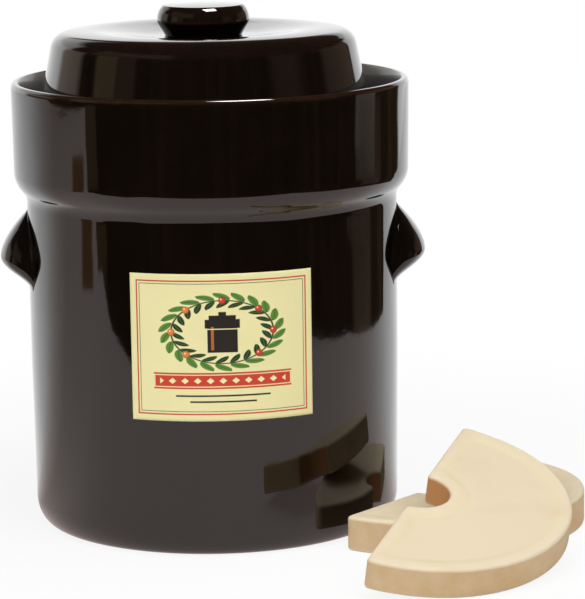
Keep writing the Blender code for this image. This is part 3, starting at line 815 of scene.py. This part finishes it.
class Board:
    """A node tree to which nodes are added one by one."""

    def __init__(self, tree):
        self.tree = tree
        tree.nodes.clear()

    def add(self, kind, settings=None, sockets=None, output=0):
        """Adds a node: first its settings, then the values or links of its sockets; gives one output."""
        node = self.tree.nodes.new(kind)
        for name, value in (settings or {}).items():
            setattr(node, name, value)
        for name, value in (sockets or {}).items():
            if isinstance(value, Socket):
                self.tree.links.new(value.output, node.inputs[name])
            else:
                node.inputs[name].default_value = value
        return Socket(self, node.outputs[output]) if len(node.outputs) else None

    def mix(self, factor, first, second):
        """One colour where the factor is 0 and another where it is 1."""
        return self.add("ShaderNodeMix", {"data_type": "RGBA"}, {0: factor, 6: first, 7: second}, 2)

    def noise(self, place, scale, detail=2.0, roughness=0.5):
        """Noise from 0 to 1 with so many waves to the metre."""
        sockets = {"Vector": place, "Scale": scale, "Detail": detail, "Roughness": roughness}
        return self.add("ShaderNodeTexNoise", {}, sockets)

    def stretched(self, place, scales):
        """Coordinates scaled by axis, so that a pattern on them is drawn out."""
        return self.add("ShaderNodeMapping", {}, {"Vector": place, "Scale": scales})

    def object_place(self):
        return self.add("ShaderNodeTexCoord", {}, {}, 3)

    def shifted_place(self, offset):
        """The place on the object, moved along so that no two pieces carry the same pattern."""
        return self.add("ShaderNodeMapping", {}, {"Vector": self.object_place(), "Location": offset})

    def parts(self, place):
        """The three numbers of a place or a direction."""
        node = self.add("ShaderNodeSeparateXYZ", {}, {0: place}).output.node
        return [Socket(self, output) for output in node.outputs]

    def vectors(self, operation, first, second=(0.0, 0.0, 0.0), output=0):
        """Two vectors taken together, or one's length, which is output 1."""
        return self.add("ShaderNodeVectorMath", {"operation": operation}, {0: first, 1: second}, output)

    def turn(self, east, north):
        """The heading of a direction or a place: radians from the front (-Y), to the right."""
        return self.add("ShaderNodeMath", {"operation": "ARCTAN2"}, {0: east, 1: 0.0 - north})

    def mark(self, name):
        """A number that the mesh carries on its points."""
        return self.add("ShaderNodeAttribute", {"attribute_name": name}, {}, 2)

    def bump(self, height, distance, normal=None):
        """A normal disturbed by a height of 0 to 1 times the distance."""
        sockets = {"Height": height, "Distance": distance, "Strength": 1.0}
        if normal:
            sockets["Normal"] = normal
        return self.add("ShaderNodeBump", {}, sockets)

    def finish(self, sockets):
        """The Principled shader on the output."""
        shader = self.add("ShaderNodeBsdfPrincipled", {}, sockets)
        self.add("ShaderNodeOutputMaterial", {}, {"Surface": shader})


def opaque(rgb):
    """A colour with full alpha."""
    return (*rgb, 1.0)


def shade(rgb, factor):
    """A colour made darker or lighter."""
    return tuple(min(1.0, part * factor) for part in rgb)


def new_board(name):
    """A new material and the board of its nodes."""
    material = bpy.data.materials.new(name)
    material.use_nodes = True
    return material, Board(material.node_tree)


def glaze_material(name, looks, offset, pot=None):
    """Dark brown stoneware glaze.

    Its colour is clouded, streaked downwards and browner where it has run thin over an edge. Long
    soft waves and a fine peel disturb its normal. On the pot, the clay is bare under the base, and
    the collar's inner wall is rougher, with a painted grey sheen in its colour.
    """
    material, board = new_board(name)
    place = board.shifted_place(offset)
    clouds = board.noise(place, 26.0, 5.0, 0.62)
    streaks = board.noise(board.stretched(place, (1.0, 1.0, 0.16)), 150.0, 3.0, 0.6)
    specks = board.noise(place, 900.0, 2.0)
    lighter = ((clouds - 0.5) * 2.6 + (streaks - 0.5) * 1.3 + (specks - 0.5) * 0.9 + 0.28).held()
    tint = board.mix(lighter, opaque(looks.glaze), opaque(looks.glaze_light))
    thin = (board.mark("thin") * 0.75 * (0.4 + streaks)).held()
    tint = board.mix(thin, tint, opaque(looks.glaze_thin))
    swell = board.noise(board.stretched(place, (1.0, 1.0, 0.7)), 42.0, 1.0)
    ripple = board.noise(place, 190.0, 2.0)
    peel = board.noise(place, 620.0, 1.0)
    normal = board.bump(swell, looks.glaze_swell)
    normal = board.bump(ripple, looks.glaze_ripple, normal)
    normal = board.bump(peel, looks.glaze_peel, normal)
    rough = looks.glaze_gloss + 0.05 * (board.noise(place, 55.0, 3.0) - 0.35).held() + 0.02 * specks
    if pot is not None:
        # how steeply each mask rises, to the metre
        crisp, gradual, sharp = 900.0, 90.0, 4000.0
        height = board.parts(board.object_place())[2]
        level = board.vectors("MULTIPLY", board.object_place(), (1, 1, 0))
        inner = pot.collar_radius - pot.rim_out - pot.rim_flat - pot.dull_and_sheen_margin
        inwards = inner - board.vectors("LENGTH", level, output=1)
        wall = (inwards * crisp + 0.5).held() * ((pot.dull_and_sheen_reach - inwards) * crisp).held()
        # The collar's inner wall: rougher glaze, and a grey colour that is painted sheen standing in for the
        # backdrop's reflection
        dull_and_sheen = wall * ((height - (pot.rim_height - pot.dull_and_sheen_height)) * gradual).held()
        tint = board.mix(dull_and_sheen * (0.75 + 0.5 * clouds), tint, opaque(looks.glaze_painted_sheen))
        rough = rough + dull_and_sheen * 0.35
        bare = (1 - (height - looks.bare_height) * sharp).held()
        tint = board.mix(bare, tint, opaque(looks.bare_clay))
        rough = rough * (1 - bare) + bare * (0.75 + 0.2 * board.noise(place, 1400.0, 3.0))
    board.finish({
        "Base Color": tint, "Roughness": rough, "Normal": normal, "IOR": looks.glaze_ior,
        "Coat Weight": looks.glaze_coat, "Coat Roughness": looks.glaze_gloss,
    })
    return material


def clay_material(name, looks, offset):
    """Unglazed cream stoneware: fine grain, soft clouds and a pale rubbed band, with painted shade on the
    sides and the finger hole's wall.
    """
    material, board = new_board(name)
    place = board.shifted_place(offset)
    clouds = board.noise(place, 22.0, 4.0, 0.55)
    grain = board.noise(place, 1500.0, 3.0, 0.6)
    blotch = board.noise(place, 90.0, 3.0, 0.5)
    side = board.mark("side")
    band = board.mark("band")
    pale = (band * (1 - side) * (0.55 + 0.5 * blotch) + (clouds - 0.5) * 1.1).held()
    tint = board.mix(pale, opaque(looks.stone), opaque(looks.stone_pale))
    slope = (band * (1 - band) * 2.0 * (0.5 + blotch)).held()
    tint = board.mix(slope, tint, opaque(looks.stone_yellow))
    # painted shade on the sides, darker and warmer than the top, with random warm clouds over the whole stone
    warm = (side * (0.56 + 0.7 * (blotch - 0.3)) + (0.46 - clouds) * 0.8).held()
    tint = board.mix(warm, tint, opaque(looks.stone_warm_and_side_shade))
    # painted shade on the finger hole's wall
    tint = board.mix((board.mark("hole") * (0.75 + 0.5 * clouds)).held(), tint, opaque(looks.stone_hole_shade))
    tint = board.mix(((grain - 0.62) * 2.2).held(), tint, opaque(looks.stone_warm_and_side_shade))
    pits = board.add("ShaderNodeTexVoronoi", {"feature": "F1"}, {"Vector": place, "Scale": 420.0})
    dug = (1 - pits * 6.0).held() * ((blotch - 0.55) * 8.0).held()
    normal = board.bump(board.noise(place, 60.0, 2.0), looks.stone_wave)
    normal = board.bump(grain - 0.5 * dug, looks.stone_grain, normal)
    board.finish({
        "Base Color": tint, "Roughness": 0.72 + 0.2 * grain, "Normal": normal, "IOR": 1.45,
    })
    return material


def disc(across, up, centre, radius, soft):
    """A round spot: 1 inside, 0 outside, from the distance to its centre."""
    along = across - centre[0]
    high = up - centre[1]
    return ((radius - (along * along + high * high) ** 0.5) / soft + 0.5).held()


def block(across, up, centre, half, soft):
    """An upright rectangle: 1 inside, 0 outside, from the larger of the two distances."""
    past = (abs(across - centre[0]) - half[0]).most(abs(up - centre[1]) - half[1])
    return (0.5 - past / soft).held()


def leaf_ring(board, across, up, ring, leaves, leaf):
    """A ring of leaves: the plane is folded into equal wedges and one slanted leaf is drawn in each.

    ring is centre across, centre up, radius and how much wider than high it is. leaf is its shift
    out from the ring, half its length, half its width and its slant. The leaf is where the distance
    off its midrib is under its width times one less the square of the place along it. Gives the
    leaves, their midribs and the distance from the ring's centre.
    """
    centre_across, centre_up, radius, stretch = ring
    shift, half_length, half_width, slant = leaf
    along = (across - centre_across) / stretch
    high = up - centre_up
    reach = (along * along + high * high) ** 0.5
    turn = board.add("ShaderNodeMath", {"operation": "ARCTAN2"}, {0: high, 1: along})
    wedge = FULL_TURN / leaves
    folded = (turn % wedge - wedge / 2) * radius
    out = reach - radius - shift
    lengthways = (folded * np.cos(slant) + out * np.sin(slant)) / half_length
    crossways = (out * np.cos(slant) - folded * np.sin(slant)) / half_width
    leaves_shown = ((1 - lengthways * lengthways - abs(crossways)) * 5.0).held()
    midrib = (1 - abs(crossways) * 9.0).held() * leaves_shown
    return leaves_shown, midrib, reach


def label_material(looks, size):
    """Pale yellow paper with a plain printed design: a leaf wreath round a pot, and a red band.

    Places on the print are in millimetres from its middle.
    """
    material, board = new_board("label_print")
    part_across, part_up, _ = board.parts(board.add("ShaderNodeUVMap", {"uv_map": "print"}))
    half = (size.width / MILLIMETRE / 2, size.height / MILLIMETRE / 2)
    across = (part_across - 0.5) * (2 * half[0])
    up = (part_up - 0.5) * (2 * half[1])
    soft = 0.35
    place = board.object_place()
    fibre = board.noise(board.stretched(place, (1.0, 1.0, 0.4)), 1900.0, 3.0)
    cloud = board.noise(place, 35.0, 2.0)
    fibrous = (0.35 * fibre + 0.5 * cloud).held()
    tint = board.mix(fibrous, opaque(looks.paper), opaque(shade(looks.paper, 0.9)))

    def ink(mask, rgb):
        """The print so far, with one more ink over it."""
        return board.mix(mask, tint, opaque(rgb))

    def patch(centre, reach):
        """A block of the print."""
        return block(across, up, centre, reach, soft)

    def line(centre, reach, thickness):
        """A rectangular line: one block less a smaller one."""
        return patch(centre, reach) * (1 - patch(centre, (reach[0] - thickness, reach[1] - thickness)))

    for inset, thickness, rgb in ((4.0, 0.9, looks.print_red), (6.0, 0.4, looks.print_dark)):
        tint = ink(line((0.0, 0.0), (half[0] - inset, half[1] - inset), thickness), rgb)
    ring = (0.0, 10.0, 20.0, 1.62)
    stem_half = 0.35
    outer, outer_rib, _ = leaf_ring(board, across, up, ring, 22, (2.6, 4.6, 1.7, 0.62))
    inner, inner_rib, reach = leaf_ring(board, across, up, ring, 22, (-2.4, 4.2, 1.5, -0.62))
    stem = (0.5 - (abs(reach - ring[2]) - stem_half) / soft).held()
    for mask, rgb in (
        (stem, looks.print_dark), (inner, looks.print_dark), (inner_rib, looks.print_green),
        (outer, looks.print_green), (outer_rib, looks.print_dark),
    ):
        tint = ink(mask, rgb)
    berries = (
        (0.0, 30.0), (-32.4, 10.0), (32.4, 10.0), (-23.0, 24.1), (23.0, 24.1), (-23.0, -4.1), (23.0, -4.1),
    )
    for number, (berry_across, berry_up) in enumerate(berries):
        rgb = looks.print_orange if number % 2 else looks.print_red
        for shift, radius, shown in ((0.0, 2.3, shade(rgb, 0.5)), (0.2, 1.9, rgb), (0.7, 0.5, looks.paper)):
            tint = ink(disc(across, up, (berry_across - shift, berry_up + shift), radius, soft), shown)
    # the drawn pot's body, collar, lid and knob
    body, *rest = [patch((0.0, height), reach) for height, reach in (
        (6.0, (9.5, 9.0)), (15.2, (11.0, 2.8)), (19.0, (8.5, 1.6)), (21.4, (2.4, 1.4)),
    )]
    for part in rest:
        body = body.most(part)
    band = (0.0, -21.0)
    tint = ink(body, looks.print_black)
    # a streak of light on the drawn pot, the line under its collar, and the band with its diamonds
    tint = ink(patch((-6.3, 6.0), (0.9, 7.4)), shade(looks.print_orange, 0.6))
    tint = ink(patch((0.0, 11.9), (11.0, 0.3)), looks.paper)
    tint = ink(patch(band, (44.0, 5.2)), looks.print_red)
    tint = ink(patch(band, (44.0, 4.1)) * (1 - patch(band, (43.2, 3.5))), looks.paper)
    step = 8.0
    folded = (across + step / 2) % step - step / 2
    lozenge = ((2.1 - abs(folded) * 0.8 - abs(up - band[1])) / soft).held()
    tint = ink(lozenge * patch(band, (40.0, 4.0)), looks.paper)
    for height, half_length in ((-30.6, 30.0), (-34.4, 21.0)):
        tint = ink(patch((0.0, height), (half_length, 0.55)), looks.print_black)
    edge = (1 - board.mark("face")).held()
    tint = board.mix(edge, tint, opaque(shade(looks.paper, 1.05)))
    board.finish({
        "Base Color": tint, "Roughness": 0.42 + 0.12 * fibre, "IOR": 1.45,
        "Normal": board.bump(cloud * 0.8 + fibre * 0.05, looks.paper_wave),
    })
    return material


def dress(piece, material, body, nodes):
    """Gives a piece its material and its body, and hides the packed nodes that it stands for."""
    piece.data.materials.append(material)
    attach(piece, body)
    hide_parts(*nodes)


# Stage


def seen_by(board):
    """One for camera rays, and one for mirror and transmission rays, else nothing."""
    path = board.add("ShaderNodeLightPath").output.node
    names = ("Is Camera Ray", "Is Glossy Ray", "Is Transmission Ray")
    camera, glossy, passing = [Socket(board, path.outputs[name]) for name in names]
    return camera, (glossy + passing).held()


def make_floor(studio):
    """A level floor that ends before the pot, at its left and at its right, as a table does.

    The camera sees it white, with the shadow near the object kept; far off it is plain. Mirror
    rays see it warm and dimmer in front, white behind, with one brown mat at the left.
    """
    front, back, left, right = -studio.floor_front, studio.floor_far, -studio.floor_left, studio.floor_right
    # from the front left corner to the right and round; its steps shape what the glaze mirrors
    outline = (
        (-0.50, front), (0.66, front), (0.70, -0.36), (0.785, -0.08), (0.72, 0.30), (0.68, 0.45),
        (right, 0.98), (right, back), (-back, back), (-back, 0.90), (left, 0.45), (left, -0.66),
        (-1.10, -0.36), (-1.08, -0.42), (-0.77, -0.41), (-0.52, -0.47),
    )
    mesh = bpy.data.meshes.new("floor")
    mesh.from_pydata([(x, y, 0.0) for x, y in outline], [], [range(len(outline))])
    floor = bpy.data.objects.new("floor", mesh)
    bpy.context.scene.collection.objects.link(floor)
    warm, dim, brown = (0.86, 0.70, 0.66), (0.58, 0.45, 0.41), (0.30, 0.15, 0.075)
    material, board = new_board("floor_white")
    place = board.object_place()
    reach = board.vectors("LENGTH", place, output=1)
    turn = board.turn(*board.parts(place)[:2])
    far = ((reach - 0.25) * 3.0).held()
    diffuse = board.add("ShaderNodeBsdfDiffuse", {}, {"Color": (0.80, 0.80, 0.80, 1.0)})
    white = board.add("ShaderNodeEmission", {}, {"Color": (1, 1, 1, 1), "Strength": 1.0})
    kept = board.add("ShaderNodeMixShader", {}, {0: 0.88 + 0.12 * far, 1: diffuse, 2: white})
    behind = ((abs(turn) - 1.65) * 1.9).held()
    tint = board.mix(behind, opaque(warm), opaque((studio.backdrop,) * 3))
    beside = (1 - abs(turn + 1.72) * 2.6).held()
    tint = board.mix(beside, tint, opaque(dim))
    mat = block(turn, reach, (-1.39, 1.40), (0.075, 0.36), 0.03)
    tint = board.mix(mat, tint, opaque(brown))
    glow = board.add("ShaderNodeEmission", {}, {"Color": tint, "Strength": 1.0})
    mirrored = board.add("ShaderNodeMixShader", {}, {0: (0.70 + mat).held(), 1: diffuse, 2: glow})
    camera, mirror = seen_by(board)
    surface = board.add("ShaderNodeMixShader", {}, {0: mirror, 1: diffuse, 2: mirrored})
    surface = board.add("ShaderNodeMixShader", {}, {0: camera, 1: surface, 2: kept})
    board.add("ShaderNodeOutputMaterial", {}, {"Surface": surface})
    mesh.materials.append(material)


def make_world(scene, studio):
    """A white backdrop behind and at the left, and a dim room before the crock.

    The camera sees white everywhere. Mirror rays see the backdrop up to a height, and before it a
    dim brown room with a few things in it, each a soft-edged rectangle in heading and height.
    Headings are radians from the front, to the right; heights are sines. Other rays see a plain
    grey.
    """
    world = bpy.data.worlds.new("studio")
    world.use_nodes = True
    scene.world = world
    board = Board(world.node_tree)
    below, room, lighter, ceiling = (
        (0.050, 0.031, 0.017), (0.050, 0.032, 0.022), (0.11, 0.07, 0.045), (0.045, 0.032, 0.026),
    )
    east, north, high = board.parts(board.add("ShaderNodeTexCoord"))
    turn = board.turn(east, north)
    waves = {"W": turn, "Scale": 7.0, "Detail": 4.0}
    folds = board.add("ShaderNodeTexNoise", {"noise_dimensions": "1D"}, waves)
    above = ((high + 0.01) * 20.0).held()
    seen = board.mix(above, opaque(below), opaque(room))
    seen = board.mix(((folds - 0.5) * 2.4).held(), seen, opaque(lighter))
    # each thing: its heading and half width, its height and half height, soft edge, colour
    things = (
        ("wall at the left", -2.10, 0.30, 0.15, 0.17, 0.10, (0.50, 0.41, 0.34)),
        ("cloth at the left", -1.34, 0.17, 0.16, 0.17, 0.05, (0.31, 0.24, 0.14)),
        ("post at the left", -1.62, 0.045, 0.18, 0.12, 0.03, (0.04, 0.028, 0.02)),
        ("wood at the left", -1.26, 0.06, -0.14, 0.03, 0.02, (0.19, 0.13, 0.075)),
        ("second cloth", -1.04, 0.13, 0.16, 0.17, 0.06, (0.16, 0.11, 0.075)),
        ("ceiling at the left", -1.05, 0.60, 0.52, 0.18, 0.10, (0.19, 0.15, 0.11)),
        ("screen at the left", -2.55, 0.36, 0.42, 0.14, 0.10, (0.85, 0.84, 0.83)),
        ("cloth at the right", 1.10, 0.20, 0.16, 0.17, 0.20, (0.16, 0.10, 0.07)),
        ("window at the right", 1.75, 0.15, -0.06, 0.092, 0.02, (0.38, 0.33, 0.27)),
        ("wood at the right", 1.84, 0.15, -0.19, 0.042, 0.08, (0.21, 0.14, 0.10)),
        ("wall at the right", 2.05, 0.33, 0.16, 0.16, 0.10, (0.18, 0.12, 0.09)),
        ("screen at the right", 2.78, 0.20, 0.34, 0.06, 0.04, (0.80, 0.80, 0.82)),
    )
    for _, heading, half_width, height, half_height, soft, rgb in things:
        shown = block(turn, high, (heading, height), (half_width, half_height), soft)
        seen = board.mix(shown, seen, opaque(rgb))
    left = ((0.0 - turn - 2.22) * 9.0).held()
    right = ((turn - 2.40) * 22.0).held()
    low = 1 - ((high - 0.28) * 16.0).held()
    seen = board.mix((left + right).held() * low, seen, opaque((studio.backdrop,) * 3))
    seen = board.mix(((high - 0.60) * 12.0).held(), seen, opaque(ceiling))
    camera, mirror = seen_by(board)
    seen = board.mix(mirror, opaque((studio.ambient,) * 3), seen)
    seen = board.mix(camera, seen, (1.0, 1.0, 1.0, 1.0))
    background = board.add("ShaderNodeBackground", {}, {"Color": seen, "Strength": 1.0})
    board.add("ShaderNodeOutputWorld", {}, {"Surface": background})


def make_lamps(studio):
    """Soft lamps overhead and at the left and right front, and a small one for the glaze.

    The glaze mirrors only the small one, and only pot and knob do, on the edges that face it. A
    lamp's own +Z points away from what it lights.
    """
    mirrors = bpy.data.collections.new(GLINT_PIECES)
    lamps = (
        ("lamp_overhead", (0.25, -0.25, 1.70), (1.1, 0.9), studio.overhead_power, None),
        ("lamp_left", (-1.30, -1.30, 1.30), (0.9, 1.1), studio.left_power, None),
        ("lamp_front", (1.10, -1.70, 1.80), (2.2, 1.4), studio.front_power, None),
        ("lamp_glint", (0.30, -0.46, 1.60), (0.55, 0.45), studio.glint_power, mirrors),
    )
    target = Vector((0.03, 0.0, 0.12))
    for name, place, size, power, mirrored_by in lamps:
        lamp = bpy.data.lights.new(name, "AREA")
        lamp.shape = "RECTANGLE"
        lamp.size, lamp.size_y = size
        lamp.energy = power
        made = bpy.data.objects.new(name, lamp)
        made.location = place
        made.rotation_mode = "QUATERNION"
        made.rotation_quaternion = (Vector(place) - target).to_track_quat("Z", "Y")
        made.visible_camera = False
        made.visible_glossy = mirrored_by is not None
        made.visible_diffuse = mirrored_by is None
        made.light_linking.receiver_collection = mirrored_by
        bpy.context.scene.collection.objects.link(made)


def make_camera(scene, studio):
    """The camera at the photograph's place: yaw about +Z, pitch from level, then roll."""
    data = bpy.data.cameras.new("camera")
    data.sensor_width = SENSOR
    data.lens = studio.focal_pixels * SENSOR / max(IMAGE_SIZE)
    camera = bpy.data.objects.new("camera", data)
    turn = Matrix.Rotation(studio.camera_yaw, 4, "Z")
    tilt = Matrix.Rotation(np.pi / 2 - studio.camera_pitch, 4, "X")
    roll = Matrix.Rotation(studio.camera_roll, 4, "Z")
    place = Matrix.Translation((0.0, -studio.camera_distance, studio.camera_height))
    camera.matrix_world = place @ turn @ tilt @ roll
    scene.collection.objects.link(camera)
    scene.camera = camera


# Operators


class CROCK_OT_pot(Operator):
    """Turns the pot with its neck, water channel and collar"""

    bl_idname = "crock.make_pot"
    bl_label = "Make pot"

    def execute(self, context):
        scene = context.scene
        pot = scene.crock_pot
        fine = scene.crock_fineness
        piece = turned_piece(
            "pot_glazed", pot_profile(pot, fine), fine.turned_steps, (0, 0, 0), pot.uneven, HAND_WORK["pot"]
        )
        material = glaze_material("pot_glaze", scene.crock_finishes, (0.0, 0.0, 0.0), pot)
        dress(piece, material, "crock", ["crock_body"])
        bpy.data.collections[GLINT_PIECES].objects.link(piece)
        return {"FINISHED"}


class CROCK_OT_lugs(Operator):
    """Lofts the two lugs over the pot's wall"""

    bl_idname = "crock.make_lugs"
    bl_label = "Make lugs"

    def execute(self, context):
        scene = context.scene
        lug = scene.crock_lugs
        seed, wavelength = HAND_WORK["lugs"]
        for way, side in (("left", -1), ("right", 1)):
            points, stand_off = lug_points(lug, scene.crock_pot, side, scene.crock_fineness)
            taken_in = lug.taken_in + unevenness(points, lug.uneven, seed + side, wavelength)
            points[..., :2] *= (1 - taken_in / scene.crock_pot.body_radius)[..., None]
            # the glaze is thin over the outermost quarter of the reach
            thin = np.clip(stand_off / lug.reach - 0.75, 0, 1) * 3
            thin = np.concatenate((thin, stand_off * 0), axis=1)
            piece = surface_object(f"lug_{way}_glazed", points, {"thin": thin})
            close_ends(piece)
            material = glaze_material(f"lug_{way}_glazed", scene.crock_finishes, (0.3 * side, 0.1, 0.0))
            dress(piece, material, "crock", [f"handle_{way}"])
        return {"FINISHED"}


class CROCK_OT_lid(Operator):
    """Turns the lid and cuts the gas notches in its skirt's foot"""

    bl_idname = "crock.make_lid"
    bl_label = "Make lid"

    def execute(self, context):
        scene = context.scene
        lid = scene.crock_lid
        profile = lid_profile(lid, scene.crock_knob, scene.crock_fineness)
        middle = (LID_BOX[0].x + LID_BOX[1].x) / 2
        stretch = 4 * lid.notch_radius

        def notch(radius, height, turn):
            """Lifts the skirt's foot to a half round at left and right; the lift fades out above it."""
            aside = radius * np.sin(turn)
            lift = np.sqrt(np.clip(lid.notch_radius ** 2 - aside ** 2, 0, None))
            near = np.clip(1 - height / stretch, 0, 1) * (radius > lid.crest_radius)
            return height + lift * near

        piece = turned_piece(
            "lid_glazed", profile, scene.crock_fineness.turned_steps, (middle, 0.0, LID_BOX[0].z),
            lid.uneven, HAND_WORK["lid"], notch,
        )
        material = glaze_material("lid_glaze", scene.crock_finishes, (0.7, 0.2, 0.4))
        dress(piece, material, "lid", ["lid"])
        return {"FINISHED"}


class CROCK_OT_knob(Operator):
    """Turns the knob on the lid"""

    bl_idname = "crock.make_knob"
    bl_label = "Make knob"

    def execute(self, context):
        scene = context.scene
        knob = scene.crock_knob
        profile = knob_profile(knob, scene.crock_fineness)
        middle = (KNOB_BOX[0].x + KNOB_BOX[1].x) / 2
        piece = turned_piece(
            "knob_glazed", profile, scene.crock_fineness.knob_steps, (middle, 0.0, KNOB_BOX[0].z),
            knob.uneven, HAND_WORK["knob"],
        )
        material = glaze_material("knob_glaze", scene.crock_finishes, (1.1, 0.5, 0.9))
        dress(piece, material, "lid", ["lid_knob"])
        bpy.data.collections[GLINT_PIECES].objects.link(piece)
        return {"FINISHED"}


class CROCK_OT_label(Operator):
    """Lays the printed paper label round the front of the pot"""

    bl_idname = "crock.make_label"
    bl_label = "Make label"

    def execute(self, context):
        scene = context.scene
        label = scene.crock_label
        points, uv, face = label_points(label, scene.crock_pot, scene.crock_fineness)
        piece = surface_object("label_printed", points, {"face": face}, uv, rows_wrap=True)
        dress(piece, label_material(scene.crock_finishes, label), "crock", ["label"])
        return {"FINISHED"}


class CROCK_OT_stones(Operator):
    """Shapes the two weight stones and leans one on the other"""

    bl_idname = "crock.make_stones"
    bl_label = "Make stones"

    def execute(self, context):
        scene = context.scene
        stones = scene.crock_stones
        lower, upper = stone_places(stones, scene.crock_pot)
        for name, thickness, place, offset in (
            ("lower", stones.lower_thickness, lower, 0.0),
            ("upper", stones.upper_thickness, upper, 0.4),
        ):
            points, marks = stone_points(stones, thickness, scene.crock_fineness)
            taken_in = stones.taken_in + unevenness(points, stones.uneven, *HAND_WORK["stones"])
            points[..., :2] *= (1 - taken_in / stones.radius)[..., None]
            piece = surface_object(f"stone_{name}_fired", placed(points, place), marks)
            material = clay_material(f"stone_clay_{name}", scene.crock_finishes, (offset, 0.0, 0.0))
            dress(piece, material, f"{name}_stone", [f"weight_stone_{name}"])
        return {"FINISHED"}


class CROCK_OT_stage(Operator):
    """Sets up the pale floor, the soft studio light and the camera"""

    bl_idname = "crock.make_stage"
    bl_label = "Make stage"

    def execute(self, context):
        scene = context.scene
        scene.view_settings.view_transform = "Standard"
        studio = scene.crock_studio
        make_floor(studio)
        make_world(scene, studio)
        make_lamps(studio)
        make_camera(scene, studio)
        return {"FINISHED"}


class CROCK_PT_panel(Panel):
    """Lists the steps and the sizes"""

    bl_idname = "CROCK_PT_panel"
    bl_label = "Fermentation crock"
    bl_space_type = "VIEW_3D"
    bl_region_type = "UI"
    bl_category = "Crock"

    def draw(self, context):
        for operator in OPERATORS:
            self.layout.operator(operator.bl_idname)
        for name, group in GROUPS.items():
            box = self.layout.box()
            box.label(text=group.__doc__.split(";")[0].rstrip("."))
            settings = getattr(context.scene, name)
            for field in group.__annotations__:
                box.prop(settings, field)


GROUPS = {
    "crock_pot": PotSizes,
    "crock_lid": LidSizes,
    "crock_knob": KnobSizes,
    "crock_lugs": LugSizes,
    "crock_label": LabelSizes,
    "crock_stones": StoneSizes,
    "crock_finishes": Finishes,
    "crock_fineness": Fineness,
    "crock_studio": StudioSettings,
}
OPERATORS = (
    CROCK_OT_stage,
    CROCK_OT_pot,
    CROCK_OT_lugs,
    CROCK_OT_lid,
    CROCK_OT_knob,
    CROCK_OT_label,
    CROCK_OT_stones,
)


def register():
    for kind in (*GROUPS.values(), *OPERATORS, CROCK_PT_panel):
        bpy.utils.register_class(kind)
    for name, group in GROUPS.items():
        setattr(bpy.types.Scene, name, PointerProperty(type=group))


def unregister():
    for name in GROUPS:
        delattr(bpy.types.Scene, name)
    for kind in (CROCK_PT_panel, *reversed(OPERATORS), *reversed(GROUPS.values())):
        bpy.utils.unregister_class(kind)


def main():
    register()
    bpy.ops.crock.make_stage()
    bpy.ops.crock.make_pot()
    bpy.ops.crock.make_lugs()
    bpy.ops.crock.make_lid()
    bpy.ops.crock.make_knob()
    bpy.ops.crock.make_label()
    bpy.ops.crock.make_stones()


if __name__ == "__main__":
    main()
